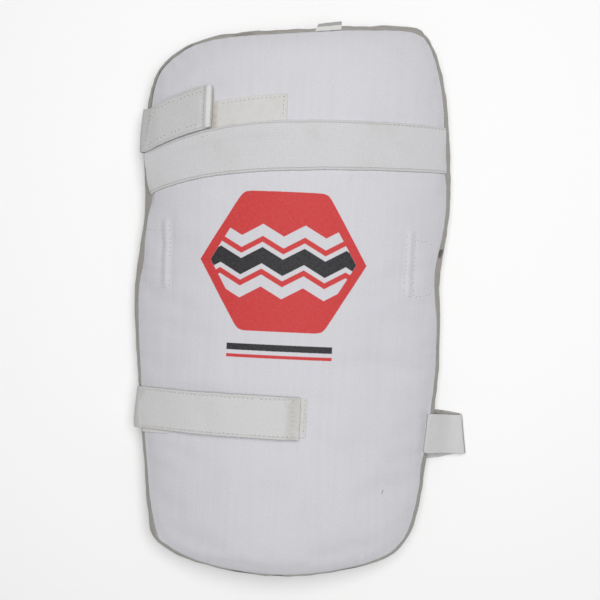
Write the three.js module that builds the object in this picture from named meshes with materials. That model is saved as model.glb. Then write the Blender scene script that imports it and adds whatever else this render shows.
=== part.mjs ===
import * as THREE from 'three';

// A cricket thigh guard lying on its back, its padded front up. Millimetres, +Z up, +Y at the
// waist end, +X to the right as seen from above. The pad is laid out as a flat pattern, with
// q across, y along and a height off its middle, and is then bent round an axis along Y.

// Pad
const guardWidth = 234;
const guardLength = 386;
const padThickness = 18;
const bendRadius = 190;
const coverWall = 1.6;
const clearance = 0.3;

// Webbing and straps
const strapThickness = 1.8;
const bandThickness = 1.8;
const bandWidth = 33;
const waistStrapWidth = 30.2;
const thighStrapWidth = 28.5;
const hemWidth = 3.5;
const hemRise = 1.3;
const strapSlack = 3.2;
const tabReach = 24;
const tabSlant = 1.4;
const tabFoldRadius = 1.6;
const tabRollIn = 1.5;

// Tapes and label
const tapeThickness = 1.2;
const waistPatchWidth = 25;
const waistPatchTuck = 7;
const thighPatchWidth = 26.5;
const thighPatchPeek = 4.5;
const hookTapeWidth = 21;
const waistHookLength = 36;
const thighHookLength = 58;
const hookTapePeek = 1.5;
const labelThickness = 0.8;
const labelWidth = 17;
const labelReach = 2.2;
const labelOverlap = 1.5;

// Smoothness
const outlineSteps = 72;
const edgeSteps = 6;
const seamSteps = 3;
const widthSteps = 4;
const stationStep = 8;
const rampLength = 3;
const rampStart = 1;
const settlePasses = 4;

const edgeRadius = padThickness / 2;
const halfWidth = guardWidth / 2;
const halfLength = guardLength / 2;
const quarterTurn = Math.PI / 2;

// The edge of the flat pattern, anticlockwise from the right side. across and along are shares
// of half the width and half the length; seam is how far in the front seam lies, as a share of
// the edge radius.
const outlineTable = [
  { across: 0.959, along: 0.085, seam: 0.98 },
  { across: 1.011, along: 0.342, seam: 0.93 },
  { across: 0.985, along: 0.606, seam: 0.98 },
  { across: 0.924, along: 0.808, seam: 0.88 },
  { across: 0.838, along: 0.933, seam: 0.8 },
  { across: 0.735, along: 0.998, seam: 0.6 },
  { across: 0.6, along: 0.996, seam: 0.38 },
  { across: 0.3, along: 0.972, seam: 0.3 },
  { across: -0.1, along: 0.947, seam: 0.32 },
  { across: -0.47, along: 0.926, seam: 0.36 },
  { across: -0.66, along: 0.905, seam: 0.5 },
  { across: -0.8, along: 0.85, seam: 0.72 },
  { across: -0.905, along: 0.785, seam: 0.85 },
  { across: -0.953, along: 0.64, seam: 0.92 },
  { across: -0.964, along: 0.52, seam: 0.92 },
  { across: -0.932, along: 0.3, seam: 0.86 },
  { across: -0.988, along: 0.03, seam: 0.95 },
  { across: -0.925, along: -0.34, seam: 0.8 },
  { across: -0.853, along: -0.625, seam: 0.72 },
  { across: -0.815, along: -0.8, seam: 0.86 },
  { across: -0.735, along: -0.906, seam: 0.8 },
  { across: -0.56, along: -0.947, seam: 0.36 },
  { across: 0, along: -0.983, seam: 0.2 },
  { across: 0.5, along: -0.948, seam: 0.26 },
  { across: 0.72, along: -0.912, seam: 0.55 },
  { across: 0.83, along: -0.84, seam: 0.82 },
  { across: 0.9, along: -0.67, seam: 0.82 },
  { across: 0.957, along: -0.42, seam: 0.9 },
  { across: 0.985, along: -0.2, seam: 0.88 },
];

// How far the rings between the edge and the middle of a face lie towards the middle
const faceRings = [0, 0.13, 0.28, 0.45, 0.64, 0.83];

// Where the front is flat at last, as a share of the edge radius in from the outline
const flatShare = 1.4;

// The front band's upper edge, from the left seam to the right one
const bandTable = [
  { across: -1, along: 0.478, width: 0.9 },
  { across: -0.7, along: 0.545, width: 0.93 },
  { across: -0.4, along: 0.592, width: 0.99 },
  { across: 0, along: 0.62, width: 1.02 },
  { across: 1, along: 0.65, width: 0.97 },
];

// Where the tape and strap ends lie, as shares of half the width
const waistStrapEnd = -0.462;
const waistPatchRight = -0.05;
const thighStrapEnd = 0.092;
const labelPlace = 0.155;

// The middle of each strap, as shares of half the length, from its sewn end to its free end
const waistRoute = { sewn: 0.565, wrap: 0.594 };
const thighRoute = {
  sewn: -0.464,
  fold: -0.474,
  underRight: -0.483,
  wrap: -0.428,
  front: -0.413,
  end: -0.414,
};
const thighPatchRoute = { left: -0.426, right: -0.412 };

// How much wider the tab's back leaf fans out, and the share of the back it takes to narrow
const tabBackSpread = 1.2;
const tabNarrowing = 0.4;

// How far round the left edge a strap begins and ends its climb onto its patch
const climbFrom = 0.62;
const climbTo = 0.88;

// How much of the tab's reach is straight at each end of its upper leaf
const leafStraight = 0.42;

const mix = THREE.MathUtils.lerp;
const ease = THREE.MathUtils.smoothstep;

// Places from one value to another, no further apart than the station step
function spread(from, to, step = stationStep) {
  const count = Math.max(1, Math.ceil(Math.abs(to - from) / step));
  return Array.from({ length: count + 1 }, (_, k) => mix(from, to, k / count));
}
const through = (stops) => stops.slice(1).flatMap((stop, k) => spread(stops[k], stop).slice(k ? 1 : 0));

// A curve through a table's rows, read at any place across
function tableCurve(rows, key) {
  return (q) => {
    const across = THREE.MathUtils.clamp(q / halfWidth, rows[0].across, rows.at(-1).across);
    const after = Math.max(1, rows.findIndex((row) => row.across >= across));
    const [a, b] = [rows[after - 1], rows[after]];
    const before = rows[after - 2] ?? a;
    const beyond = rows[after + 1] ?? b;
    const span = b.across - a.across;
    const slopeA = ((b[key] - before[key]) / (b.across - before.across)) * span;
    const slopeB = ((beyond[key] - a[key]) / (beyond.across - a.across)) * span;
    const t = (across - a.across) / span;
    const hermite = (2 * t ** 3 - 3 * t ** 2 + 1) * a[key] + (t ** 3 - 2 * t ** 2 + t) * slopeA;
    return hermite + (3 * t ** 2 - 2 * t ** 3) * b[key] + (t ** 3 - t ** 2) * slopeB;
  };
}

// Outline of the flat pattern
const outlineCurve = new THREE.CatmullRomCurve3(
  outlineTable.map((row) => new THREE.Vector3(row.across * halfWidth, row.along * halfLength, row.seam)),
  true,
);
const outline = outlineCurve.getSpacedPoints(outlineSteps).slice(0, outlineSteps);
const outward = outline.map((_, k) => {
  const before = outline.at(k - 1);
  const after = outline[(k + 1) % outlineSteps];
  return new THREE.Vector2(after.y - before.y, before.x - after.x).normalize();
});

// The outline and its seam where it crosses a place along, or across for the waist end
function outlineAt(place, axis, isHere) {
  const other = axis === 'y' ? 'x' : 'y';
  for (let k = 0; k < outlineSteps; k += 1) {
    const a = outline[k];
    const b = outline[(k + 1) % outlineSteps];
    if (isHere(a) && isHere(b) && (a[axis] - place) * (b[axis] - place) <= 0) {
      const t = (place - a[axis]) / (b[axis] - a[axis]);
      return { edge: mix(a[other], b[other], t), seam: mix(a.z, b.z, t) * edgeRadius };
    }
  }
  throw new Error(`no outline at ${axis} ${place}`);
}
const sideAt = (y, side) => outlineAt(y, 'y', (p) => p.x * side > 0);
const waistEndAt = (q) => outlineAt(q, 'x', (p) => p.y > 0);

const flatInset = flatShare * edgeRadius;
const flatStart = (y, side) => sideAt(y, side).edge - side * flatInset;

// Where a line along a strip meets the seam at one side
function seamWhere(along, side) {
  let q = side * halfWidth;
  for (let pass = 0; pass < settlePasses; pass += 1) {
    const { edge, seam } = sideAt(along(q), side);
    q = edge - side * (seam + clearance);
  }
  return q;
}

// How low the round edge reaches below the bend's axis, where the outline is at a place across
function edgeDrop(edge) {
  const drops = Array.from({ length: edgeSteps + 1 }, (_, step) => {
    const turn = (-quarterTurn * step) / edgeSteps;
    const q = Math.abs(edge) - edgeRadius + edgeRadius * Math.cos(turn);
    return (bendRadius + edgeRadius * Math.sin(turn)) * Math.cos(q / bendRadius);
  });
  return Math.min(...drops);
}
function lowestOver(ends, width) {
  const places = spread(Math.min(...ends) - width / 2, Math.max(...ends) + width / 2);
  return Math.min(...places.flatMap((y) => [edgeDrop(sideAt(y, -1).edge), edgeDrop(sideAt(y, 1).edge)]));
}

// The axis runs so that the edges rest on both straps, and clear the ground elsewhere
const waistUnder = [waistRoute.sewn * halfLength, waistRoute.wrap * halfLength];
const thighUnder = [thighRoute.underRight * halfLength, thighRoute.wrap * halfLength];
const waistPlace = (waistUnder[0] + waistUnder[1]) / 2;
const thighPlace = (thighUnder[0] + thighUnder[1]) / 2;
const waistRest = lowestOver(waistUnder, waistStrapWidth);
const thighRest = lowestOver(thighUnder, thighStrapWidth * tabBackSpread);
const axisSlope = (thighRest - waistRest) / (waistPlace - thighPlace);
const seat = strapThickness + clearance;
const axisLine = (y) => seat - waistRest + axisSlope * (y - waistPlace);
const lowestGap = Math.min(...outline.map((p) => axisLine(p.y) + edgeDrop(p.x) - clearance));
const axisLift = Math.max(0, -lowestGap);
const axisHeight = (y) => axisLine(y) + axisLift;

function bend(q, y, height) {
  const turn = q / bendRadius;
  const reach = bendRadius + height;
  return new THREE.Vector3(reach * Math.sin(turn), y, axisHeight(y) + reach * Math.cos(turn));
}

// A closed body through rings of equal length, with one point at each end
function ringBody(firstPole, rings, lastPole) {
  const positions = [firstPole, ...rings.flat(), lastPole].flatMap((p) => p.toArray());
  const count = rings[0].length;
  const last = 1 + rings.length * count;
  const at = (level, k) => 1 + level * count + (k % count);
  const faces = [];
  for (let k = 0; k < count; k += 1) {
    faces.push(0, at(0, k), at(0, k + 1));
    for (let level = 1; level < rings.length; level += 1) {
      faces.push(at(level - 1, k), at(level, k), at(level, k + 1));
      faces.push(at(level - 1, k), at(level, k + 1), at(level - 1, k + 1));
    }
    faces.push(last, at(rings.length - 1, k + 1), at(rings.length - 1, k));
  }
  return closedGeometry(positions, faces);
}

// A flat strip of webbing or tape: stations along it, each a function of the place across
// from -1 to 1 and of the side, 0 underneath and 1 on top
function stripBody(stations, columns) {
  const width = columns.length;
  const positions = stations.flatMap((station) =>
    [0, 1].flatMap((top) => columns.flatMap((v) => station(v, top).toArray())),
  );
  const at = (s, top, c) => (s * 2 + top) * width + c;
  const faces = [];
  const quad = (a, b, c, d) => faces.push(a, b, c, a, c, d);
  for (let s = 1; s < stations.length; s += 1) {
    for (let c = 1; c < width; c += 1) {
      quad(at(s - 1, 1, c - 1), at(s, 1, c - 1), at(s, 1, c), at(s - 1, 1, c));
      quad(at(s - 1, 0, c), at(s, 0, c), at(s, 0, c - 1), at(s - 1, 0, c - 1));
    }
    quad(at(s - 1, 0, 0), at(s, 0, 0), at(s, 1, 0), at(s - 1, 1, 0));
    quad(at(s - 1, 1, width - 1), at(s, 1, width - 1), at(s, 0, width - 1), at(s - 1, 0, width - 1));
  }
  const end = stations.length - 1;
  for (let c = 1; c < width; c += 1) {
    quad(at(0, 0, c - 1), at(0, 1, c - 1), at(0, 1, c), at(0, 0, c));
    quad(at(end, 0, c), at(end, 1, c), at(end, 1, c - 1), at(end, 0, c - 1));
  }
  return closedGeometry(positions, faces);
}

// An indexed geometry whose faces point out
function closedGeometry(positions, faces) {
  const point = (k) => new THREE.Vector3().fromArray(positions, k * 3);
  let volume = 0;
  for (let k = 0; k < faces.length; k += 3) {
    volume += point(faces[k]).dot(point(faces[k + 1]).cross(point(faces[k + 2])));
  }
  const geometry = new THREE.BufferGeometry();
  geometry.setAttribute('position', new THREE.Float32BufferAttribute(positions, 3));
  geometry.setIndex(volume > 0 ? faces : faces.reverse());
  geometry.computeVertexNormals();
  return geometry;
}

const evenColumns = Array.from({ length: widthSteps + 1 }, (_, k) => mix(-1, 1, k / widthSteps));

// Pad and cover
function roundEdge(k, turn, radius) {
  const out = edgeRadius - radius * Math.cos(turn);
  const q = outline[k].x - outward[k].x * out;
  const y = outline[k].y - outward[k].y * out;
  return bend(q, y, radius * Math.sin(turn));
}
const seamTurn = (k) => Math.acos(1 - outline[k].z);
const ring = (place) => outline.map((_, k) => place(k));

// A ring on the front, an amount in from the outline
function frontRing(inset) {
  return ring((k) => {
    const amount = inset(k);
    const turn = amount < edgeRadius ? Math.acos(1 - amount / edgeRadius) : quarterTurn;
    const flat = Math.max(0, amount - edgeRadius);
    const start = outline[k].clone().addScaledVector(outward[k], -flat);
    const out = edgeRadius - edgeRadius * Math.cos(turn);
    return bend(start.x - outward[k].x * out, start.y - outward[k].y * out, edgeRadius * Math.sin(turn));
  });
}

// A ring over a face at a height, a share of the way from near the edge to the middle
function faceRing(share, inset, height) {
  return ring((k) => {
    const q = (outline[k].x - outward[k].x * inset) * (1 - share);
    const y = (outline[k].y - outward[k].y * inset) * (1 - share);
    return bend(q, y, height);
  });
}

// Rings round the edge from the front seam to the back face
function edgeRings(radius, shift) {
  return Array.from({ length: edgeSteps + 1 }, (_, step) =>
    ring((k) => roundEdge(k, mix(seamTurn(k) + shift, -quarterTurn, step / edgeSteps), radius)),
  );
}

function frontPad() {
  const shift = clearance / edgeRadius;
  const innerRadius = edgeRadius - coverWall - clearance;
  const seamInset = (k) => edgeRadius * (1 - Math.cos(seamTurn(k) + shift));
  const front = faceRings.map((share) => faceRing(share, flatInset, edgeRadius)).reverse();
  const seam = Array.from({ length: seamSteps }, (_, step) =>
    frontRing((k) => mix(flatInset, seamInset(k), (step + 1) / seamSteps)),
  );
  const back = faceRings.slice(1).map((share) => faceRing(share, edgeRadius, -innerRadius));
  return ringBody(
    bend(0, 0, edgeRadius),
    [...front, ...seam, ...edgeRings(innerRadius, shift), ...back],
    bend(0, 0, -innerRadius),
  );
}

function backCover() {
  const innerRadius = edgeRadius - coverWall;
  const outside = faceRings.slice(1).map((share) => faceRing(share, edgeRadius, -edgeRadius));
  const inside = faceRings.slice(1).map((share) => faceRing(share, edgeRadius, -innerRadius));
  return ringBody(
    bend(0, 0, -edgeRadius),
    [...outside.reverse(), ...edgeRings(edgeRadius, 0).reverse(), ...edgeRings(innerRadius, 0), ...inside],
    bend(0, 0, -innerRadius),
  );
}

// A point over the front at a height above it, also where the front turns down at the side
function overFront(q, y, lift) {
  const side = Math.sign(q) || 1;
  const inset = Math.abs(sideAt(y, side).edge) - Math.abs(q);
  if (inset >= edgeRadius) return bend(q, y, edgeRadius + lift);
  return aroundSide(y, side, Math.acos(1 - Math.max(0, inset) / edgeRadius), lift);
}

// A point round the side edge: a quarter turn up is the front, a quarter turn down the back
function aroundSide(y, side, turn, lift) {
  const middle = Math.abs(sideAt(y, side).edge) - edgeRadius;
  const radius = edgeRadius + lift;
  return bend(side * (middle + radius * Math.cos(turn)), y, radius * Math.sin(turn));
}

// The turns at which the bent side edge is widest and lowest
const widestTurn = (y, side) => Math.abs(sideAt(y, side).edge) / bendRadius;
const lowestTurn = (y, side) => widestTurn(y, side) - quarterTurn;
const onGround = (x, y, top) => new THREE.Vector3(x, y, (1 - top) * strapThickness);

// Front band, sewn in at both side seams, over the edge of the waist patch
const bandEdgeShare = tableCurve(bandTable, 'along');
const bandWidthShare = tableCurve(bandTable, 'width');
const bandEdge = (q) => bandEdgeShare(q) * halfLength;
const bandWidthAt = (q) => bandWidthShare(q) * bandWidth;
const patchRise = tapeThickness + clearance;
const waistPatchEnd = waistPatchRight * halfWidth;

function frontBand() {
  const ramps = [waistPatchEnd + rampStart, waistPatchEnd + rampStart + rampLength];
  const places = through([flatStart(bandEdge(-halfWidth), -1), ...ramps, flatStart(bandEdge(halfWidth), 1)]);
  const raisedTo = waistPatchTuck + rampStart;
  const plainFrom = raisedTo + rampLength;
  const columns = [0, raisedTo, ...spread(plainFrom, bandWidth)].map((down) => down / bandWidth);
  const along = (q, v) => bandEdge(q) - v * (v * bandWidth > plainFrom ? bandWidthAt(q) : bandWidth);
  const station = (q, v, top) => {
    const rise = q <= ramps[0] && v * bandWidth <= raisedTo ? patchRise : 0;
    return overFront(q, along(q, v), clearance + rise + top * bandThickness);
  };
  const stations = [
    (v, top) => station(seamWhere((q) => along(q, v), -1), v, top),
    ...places.map((q) => (v, top) => station(q, v, top)),
    (v, top) => station(seamWhere((q) => along(q, v), 1), v, top),
  ];
  return stripBody(stations, columns);
}

// Loop patches, sewn in at the left seam
function loopPatch(along, from, to) {
  const station = (q, v, top) => overFront(q, along(q, v), clearance + top * tapeThickness);
  const atSeam = (v, top) => station(seamWhere((q) => along(q, v), -1), v, top);
  const places = spread(from, to);
  return stripBody([atSeam, ...places.map((q) => (v, top) => station(q, v, top))], evenColumns);
}

function waistPatch() {
  const along = (q, v) => bandEdge(q) - waistPatchTuck + (waistPatchWidth * (v + 1)) / 2;
  return loopPatch(along, flatStart(waistPlace, -1), waistPatchEnd);
}

function thighPatch() {
  const from = flatStart(thighPlace, -1);
  const to = thighStrapEnd * halfWidth + thighPatchPeek;
  const along = (q, v) => {
    const middle = mix(thighPatchRoute.left, thighPatchRoute.right, (q - from) / (to - from));
    return middle * halfLength + (v * thighPatchWidth) / 2;
  };
  return loopPatch(along, from, to);
}

// The stretch of a strap over the front: it lies on its patch, and then climbs on its hook tape
function frontRun(place, hookStart, end) {
  const start = flatStart(place, -1);
  const [low, high] = [hookStart - rampStart - rampLength, hookStart - rampStart];
  const climb = (q) => THREE.MathUtils.clamp((q - low) / (high - low), 0, 1);
  const lift = (q) => clearance + patchRise * (1 + climb(q));
  return { start, places: through([start, low, high, end]), lift };
}

// How far a strap stands off while it turns up round the left edge and over its patch's end
const roundLift = (share) => clearance + patchRise * ease(share, climbFrom, climbTo);
const roundShares = Array.from({ length: 2 * edgeSteps }, (_, step) => step / (2 * edgeSteps - 1));

// Waist strap: sewn under the right edge, across the back, round the left edge to its hem
const waistEnd = waistStrapEnd * halfWidth;
const waistHookStart = waistEnd - waistHookLength;
const waistMiddle = (q) => bandEdge(q) + clearance + waistStrapWidth / 2;
const waistRun = frontRun(waistRoute.wrap * halfLength, waistHookStart, waistEnd - hemWidth);

function waistStrap() {
  const across = (middle, v) => middle + (v * waistStrapWidth) / 2;
  const sewn = waistRoute.sewn * halfLength;
  const wrap = waistRoute.wrap * halfLength;
  const rightLow = aroundSide(sewn, 1, lowestTurn(sewn, 1), 0).x;
  const leftLow = aroundSide(wrap, -1, lowestTurn(wrap, -1), 0).x;
  const ground = spread(rightLow, leftLow + edgeRadius, 2 * stationStep).map((x) => (v, top) => {
    const share = (rightLow - x) / (rightLow - leftLow);
    return onGround(x, across(mix(sewn, wrap, share), v), top);
  });
  const shoulder = waistMiddle(sideAt(wrap, -1).edge + edgeRadius);
  const round = roundShares.map((share) => (v, top) => {
    const y = across(mix(wrap, shoulder, share * share), v);
    const turn = mix(lowestTurn(y, -1), quarterTurn, share);
    return aroundSide(y, -1, turn, roundLift(share) + top * strapThickness);
  });
  const front = [...waistRun.places, waistEnd - hemWidth + rampStart / 2, waistEnd];
  const folded = front.map((q, k) => (v, top) => {
    const hem = k > waistRun.places.length - 1 ? hemRise : 0;
    return overFront(q, across(waistMiddle(q), v), waistRun.lift(q) + top * (strapThickness + hem));
  });
  return stripBody([...ground, ...round, ...folded], evenColumns);
}

// Thigh strap: sewn in at the right seam, folded back past the edge, across the back, round
// the left edge to its free end
const thighEnd = thighStrapEnd * halfWidth;
const thighHookStart = thighEnd - hookTapePeek - thighHookLength;
const thighRun = frontRun(thighRoute.wrap * halfLength, thighHookStart, thighEnd);
const thighMiddle = (q) => {
  const share = (q - thighRun.start) / (thighEnd - thighRun.start);
  return mix(thighRoute.front, thighRoute.end, share) * halfLength;
};

function thighStrap() {
  const route = thighRoute;
  const across = (middle, v, share = 1) => middle + (v * thighStrapWidth * share) / 2;
  const sewn = route.sewn * halfLength;
  const foldY = route.fold * halfLength;
  const tabEdge = aroundSide(sewn, 1, widestTurn(sewn, 1), 0).x;
  const foldX = tabEdge + tabReach - tabFoldRadius - strapThickness;
  const foldAt = (v) => foldX - v * tabSlant;
  const foldZ = strapThickness + tabFoldRadius;

  // The upper leaf leaves the seam along the front and levels out at the fold
  const { seam } = sideAt(sewn, 1);
  const leafSteps = edgeSteps + 1;
  const leaf = Array.from({ length: leafSteps }, (_, step) => (v, top) => {
    const t = step / leafSteps;
    const y = across(mix(sewn, foldY, t), v);
    const { edge } = sideAt(y, 1);
    const start = overFront(edge - seam - tabRollIn, y, clearance);
    const ahead = overFront(edge - seam, y, clearance);
    const end = new THREE.Vector3(foldAt(v), y, foldZ + tabFoldRadius);
    const handle = (end.x - start.x) * leafStraight;
    const slope = ahead.sub(start).normalize().multiplyScalar(handle);
    const level = end.clone().setX(end.x - handle);
    const path = new THREE.CubicBezierCurve3(start, start.clone().add(slope), level, end);
    const along = path.getTangent(t);
    const normal = new THREE.Vector3(-along.z, 0, along.x).normalize();
    return path.getPoint(t).addScaledVector(normal, top * strapThickness);
  });
  const fold = Array.from({ length: edgeSteps + 1 }, (_, step) => (v, top) => {
    const turn = quarterTurn - (2 * quarterTurn * step) / edgeSteps;
    const radius = tabFoldRadius + top * strapThickness;
    const x = foldAt(v) + radius * Math.cos(turn);
    return new THREE.Vector3(x, across(foldY, v), foldZ + radius * Math.sin(turn));
  });

  // The lower leaf fans out under the edge, and narrows again across the back
  const wrap = route.wrap * halfLength;
  const underRight = route.underRight * halfLength;
  const leftLow = aroundSide(wrap, -1, lowestTurn(wrap, -1), 0).x;
  const backX = foldX - tabReach;
  const backPlaces = spread(backX, leftLow + edgeRadius, 2 * stationStep);
  const ground = [...spread(foldX, backX).slice(1, -1), ...backPlaces].map((x) => (v, top) => {
    const fan = ease(foldX - x, 0, tabReach);
    const share = (backX - x) / (backX - leftLow);
    const middle = share < 0 ? mix(foldY, underRight, fan) : mix(underRight, wrap, share);
    const width = mix(1, tabBackSpread, fan * (1 - ease(share, 0, tabNarrowing)));
    return onGround(x, across(middle, v, width), top);
  });
  const round = roundShares.map((share) => (v, top) => {
    const y = across(mix(wrap, route.front * halfLength, share), v);
    const slack = (strapSlack * (1 - v) * Math.sin(Math.PI * share)) / 2;
    const turn = mix(lowestTurn(y, -1), quarterTurn, share);
    return aroundSide(y, -1, turn, roundLift(share) + slack + top * strapThickness);
  });
  const front = thighRun.places.map((q) => (v, top) =>
    overFront(q, across(thighMiddle(q), v), thighRun.lift(q) + top * strapThickness),
  );
  return stripBody([...leaf, ...fold, ...ground, ...round, ...front], evenColumns);
}

// Hook tape sewn under a strap's free end
function hookTape(from, to, middle) {
  const stations = spread(from, to).map((q) => (v, top) =>
    overFront(q, middle(q) + (v * hookTapeWidth) / 2, clearance + patchRise + top * tapeThickness),
  );
  return stripBody(stations, evenColumns);
}
const waistHookTape = () => hookTape(waistHookStart, waistEnd + hookTapePeek, waistMiddle);
const thighHookTape = () => hookTape(thighHookStart, thighEnd - hookTapePeek, thighMiddle);

// Size label, sewn in at the waist end's seam and standing out past it
function sizeLabel() {
  const middle = labelPlace * halfWidth;
  const stations = Array.from({ length: edgeSteps }, (_, step) => (v, top) => {
    const q = middle + (v * labelWidth) / 2;
    const { edge, seam } = waistEndAt(q);
    const turn = Math.acos(1 - (seam + labelOverlap) / edgeRadius);
    const radius = edgeRadius + clearance + top * labelThickness;
    const root = new THREE.Vector2(edge - edgeRadius + radius * Math.cos(turn), radius * Math.sin(turn));
    const slope = new THREE.Vector2(Math.sin(turn), -Math.cos(turn));
    const knee = root.clone().addScaledVector(slope, 2 * labelOverlap);
    const tip = new THREE.Vector2(edge + labelReach, root.y - 2 * labelOverlap);
    const place = new THREE.QuadraticBezierCurve(root, knee, tip).getPoint(step / (edgeSteps - 1));
    return bend(q, place.x, place.y);
  });
  return stripBody(stations, evenColumns);
}

function piece(name, geometry, color, roughness) {
  const mesh = new THREE.Mesh(geometry, new THREE.MeshStandardMaterial({ color, roughness, metalness: 0 }));
  mesh.name = name;
  return mesh;
}

const guard = new THREE.Group();
guard.add(
  piece('front_pad', frontPad(), 0xd6d6dc, 0.85),
  piece('back_cover', backCover(), 0x9a958e, 0.95),
  piece('front_band', frontBand(), 0xd4d4d6, 0.9),
  piece('waist_patch', waistPatch(), 0xd2d1cd, 0.98),
  piece('waist_strap', waistStrap(), 0xc8c8ca, 0.9),
  piece('waist_hook_tape', waistHookTape(), 0xb5b1a8, 0.8),
  piece('thigh_patch', thighPatch(), 0xcfcdc8, 0.98),
  piece('thigh_strap', thighStrap(), 0xcccccd, 0.9),
  piece('thigh_hook_tape', thighHookTape(), 0xb5b1a8, 0.8),
  piece('size_label', sizeLabel(), 0xe2e2e2, 0.7),
);

// The origin is under the middle of the whole guard, on the ground that it lies on
const box = new THREE.Box3().setFromObject(guard);
guard.position.set(-(box.min.x + box.max.x) / 2, -(box.min.y + box.max.y) / 2, -box.min.z);

export default guard;
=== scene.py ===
"""A cricket thigh guard lying on its back, dressed in its cloth, webbing, stitching and print.

Metres, +Z up, +Y at the waist end. The pad is a flat pattern bent round an axis along Y: q runs
across the pattern, y along it and h off its middle.
"""

import math
import random

import bmesh
import bpy
import numpy as np
from mathutils import Matrix, Vector, noise
from mathutils.bvhtree import BVHTree
from mathutils.kdtree import KDTree


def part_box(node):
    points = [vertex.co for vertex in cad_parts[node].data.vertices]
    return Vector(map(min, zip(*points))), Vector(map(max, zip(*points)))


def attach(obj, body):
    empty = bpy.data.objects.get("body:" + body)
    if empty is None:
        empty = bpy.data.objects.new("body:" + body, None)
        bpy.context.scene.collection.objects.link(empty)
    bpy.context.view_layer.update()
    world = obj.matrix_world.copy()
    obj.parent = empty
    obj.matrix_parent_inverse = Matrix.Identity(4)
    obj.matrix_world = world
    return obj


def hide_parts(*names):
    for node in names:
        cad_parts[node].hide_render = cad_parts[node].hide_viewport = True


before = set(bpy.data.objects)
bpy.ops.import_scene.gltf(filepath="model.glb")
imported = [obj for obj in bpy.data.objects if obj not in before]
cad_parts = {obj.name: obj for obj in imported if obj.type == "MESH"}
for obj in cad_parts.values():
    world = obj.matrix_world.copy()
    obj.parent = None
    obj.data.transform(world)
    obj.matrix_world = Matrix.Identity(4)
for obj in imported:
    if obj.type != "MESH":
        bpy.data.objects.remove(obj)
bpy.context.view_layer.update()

MM = 0.001
PAD_THICKNESS = 18 * MM
BEND_RADIUS = 190 * MM
PAD_HALF = PAD_THICKNESS / 2
FRONT_RADIUS = BEND_RADIUS + PAD_HALF

# How finely the soft pieces are made
RIM_BEVEL = 0.9 * MM
WEBBING_BEVEL = 0.5 * MM
SHARP_ANGLE = math.radians(55)
SMOOTH_LEVELS = 2

# A camera that sees the guard as the photograph does
PICTURE_PIXELS = 600
FOCAL_PIXELS = 896
SENSOR_WIDTH = 36
CAMERA_HEIGHT = 650 * MM
CAMERA_ASIDE = 7 * MM
CAMERA_ALONG = -1.9 * MM
CAMERA_TURN = math.radians(2.6)


# Selecting and editing

def alone(piece):
    bpy.ops.object.select_all(action="DESELECT")
    piece.select_set(True)
    bpy.context.view_layer.objects.active = piece


def apply_modifier(piece, kind, **settings):
    alone(piece)
    modifier = piece.modifiers.new(kind.title(), kind)
    for name, value in settings.items():
        setattr(modifier, name, value)
    bpy.ops.object.modifier_apply(modifier=modifier.name)


def points_of(piece):
    flat = np.empty(len(piece.data.vertices) * 3)
    piece.data.vertices.foreach_get("co", flat)
    return flat.reshape(-1, 3)


def set_points(piece, points):
    piece.data.vertices.foreach_set("co", np.asarray(points, float).ravel())
    piece.data.update()


def normals_of(piece):
    flat = np.empty(len(piece.data.vertices) * 3, np.float32)
    piece.data.vertex_normals.foreach_get("vector", flat)
    return flat.reshape(-1, 3).astype(float)


def soft_copy(node, name, bevel, levels=SMOOTH_LEVELS):
    """A CAD solid's own form with its doubles merged, its sharp rims rounded and its facets smoothed."""
    piece = bpy.data.objects.new(name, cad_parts[node].data.copy())
    piece.data.name = name
    piece.data.materials.clear()
    bpy.context.scene.collection.objects.link(piece)
    alone(piece)
    bpy.ops.object.mode_set(mode="EDIT")
    bpy.ops.mesh.select_all(action="SELECT")
    bpy.ops.mesh.remove_doubles(threshold=0.001 * MM)
    bpy.ops.mesh.tris_convert_to_quads(face_threshold=math.pi, shape_threshold=math.pi)
    bpy.ops.object.mode_set(mode="OBJECT")
    bpy.ops.mesh.customdata_custom_splitnormals_clear()
    if bevel:
        apply_modifier(
            piece, "BEVEL", width=bevel, segments=2, limit_method="ANGLE", angle_limit=SHARP_ANGLE)
    if levels:
        apply_modifier(piece, "SUBSURF", levels=levels, render_levels=levels)
    piece.data.shade_smooth()
    return piece


def refine(piece, wanted):
    """Subdivides the faces whose middle is wanted."""
    alone(piece)
    bpy.ops.object.mode_set(mode="EDIT")
    bpy.ops.mesh.select_all(action="DESELECT")
    bpy.ops.mesh.select_mode(type="FACE")
    bpy.ops.object.mode_set(mode="OBJECT")
    for face in piece.data.polygons:
        face.select = bool(wanted(face))
    bpy.ops.object.mode_set(mode="EDIT")
    bpy.ops.mesh.subdivide(number_cuts=1, smoothness=0)
    bpy.ops.object.mode_set(mode="OBJECT")


# The flat pattern and the bent pad

# How much of the front is read to find the axis it is bent round, and how often the fit is repeated
FIT_SHARE = 0.4
FIT_ROUNDS = 12


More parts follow.
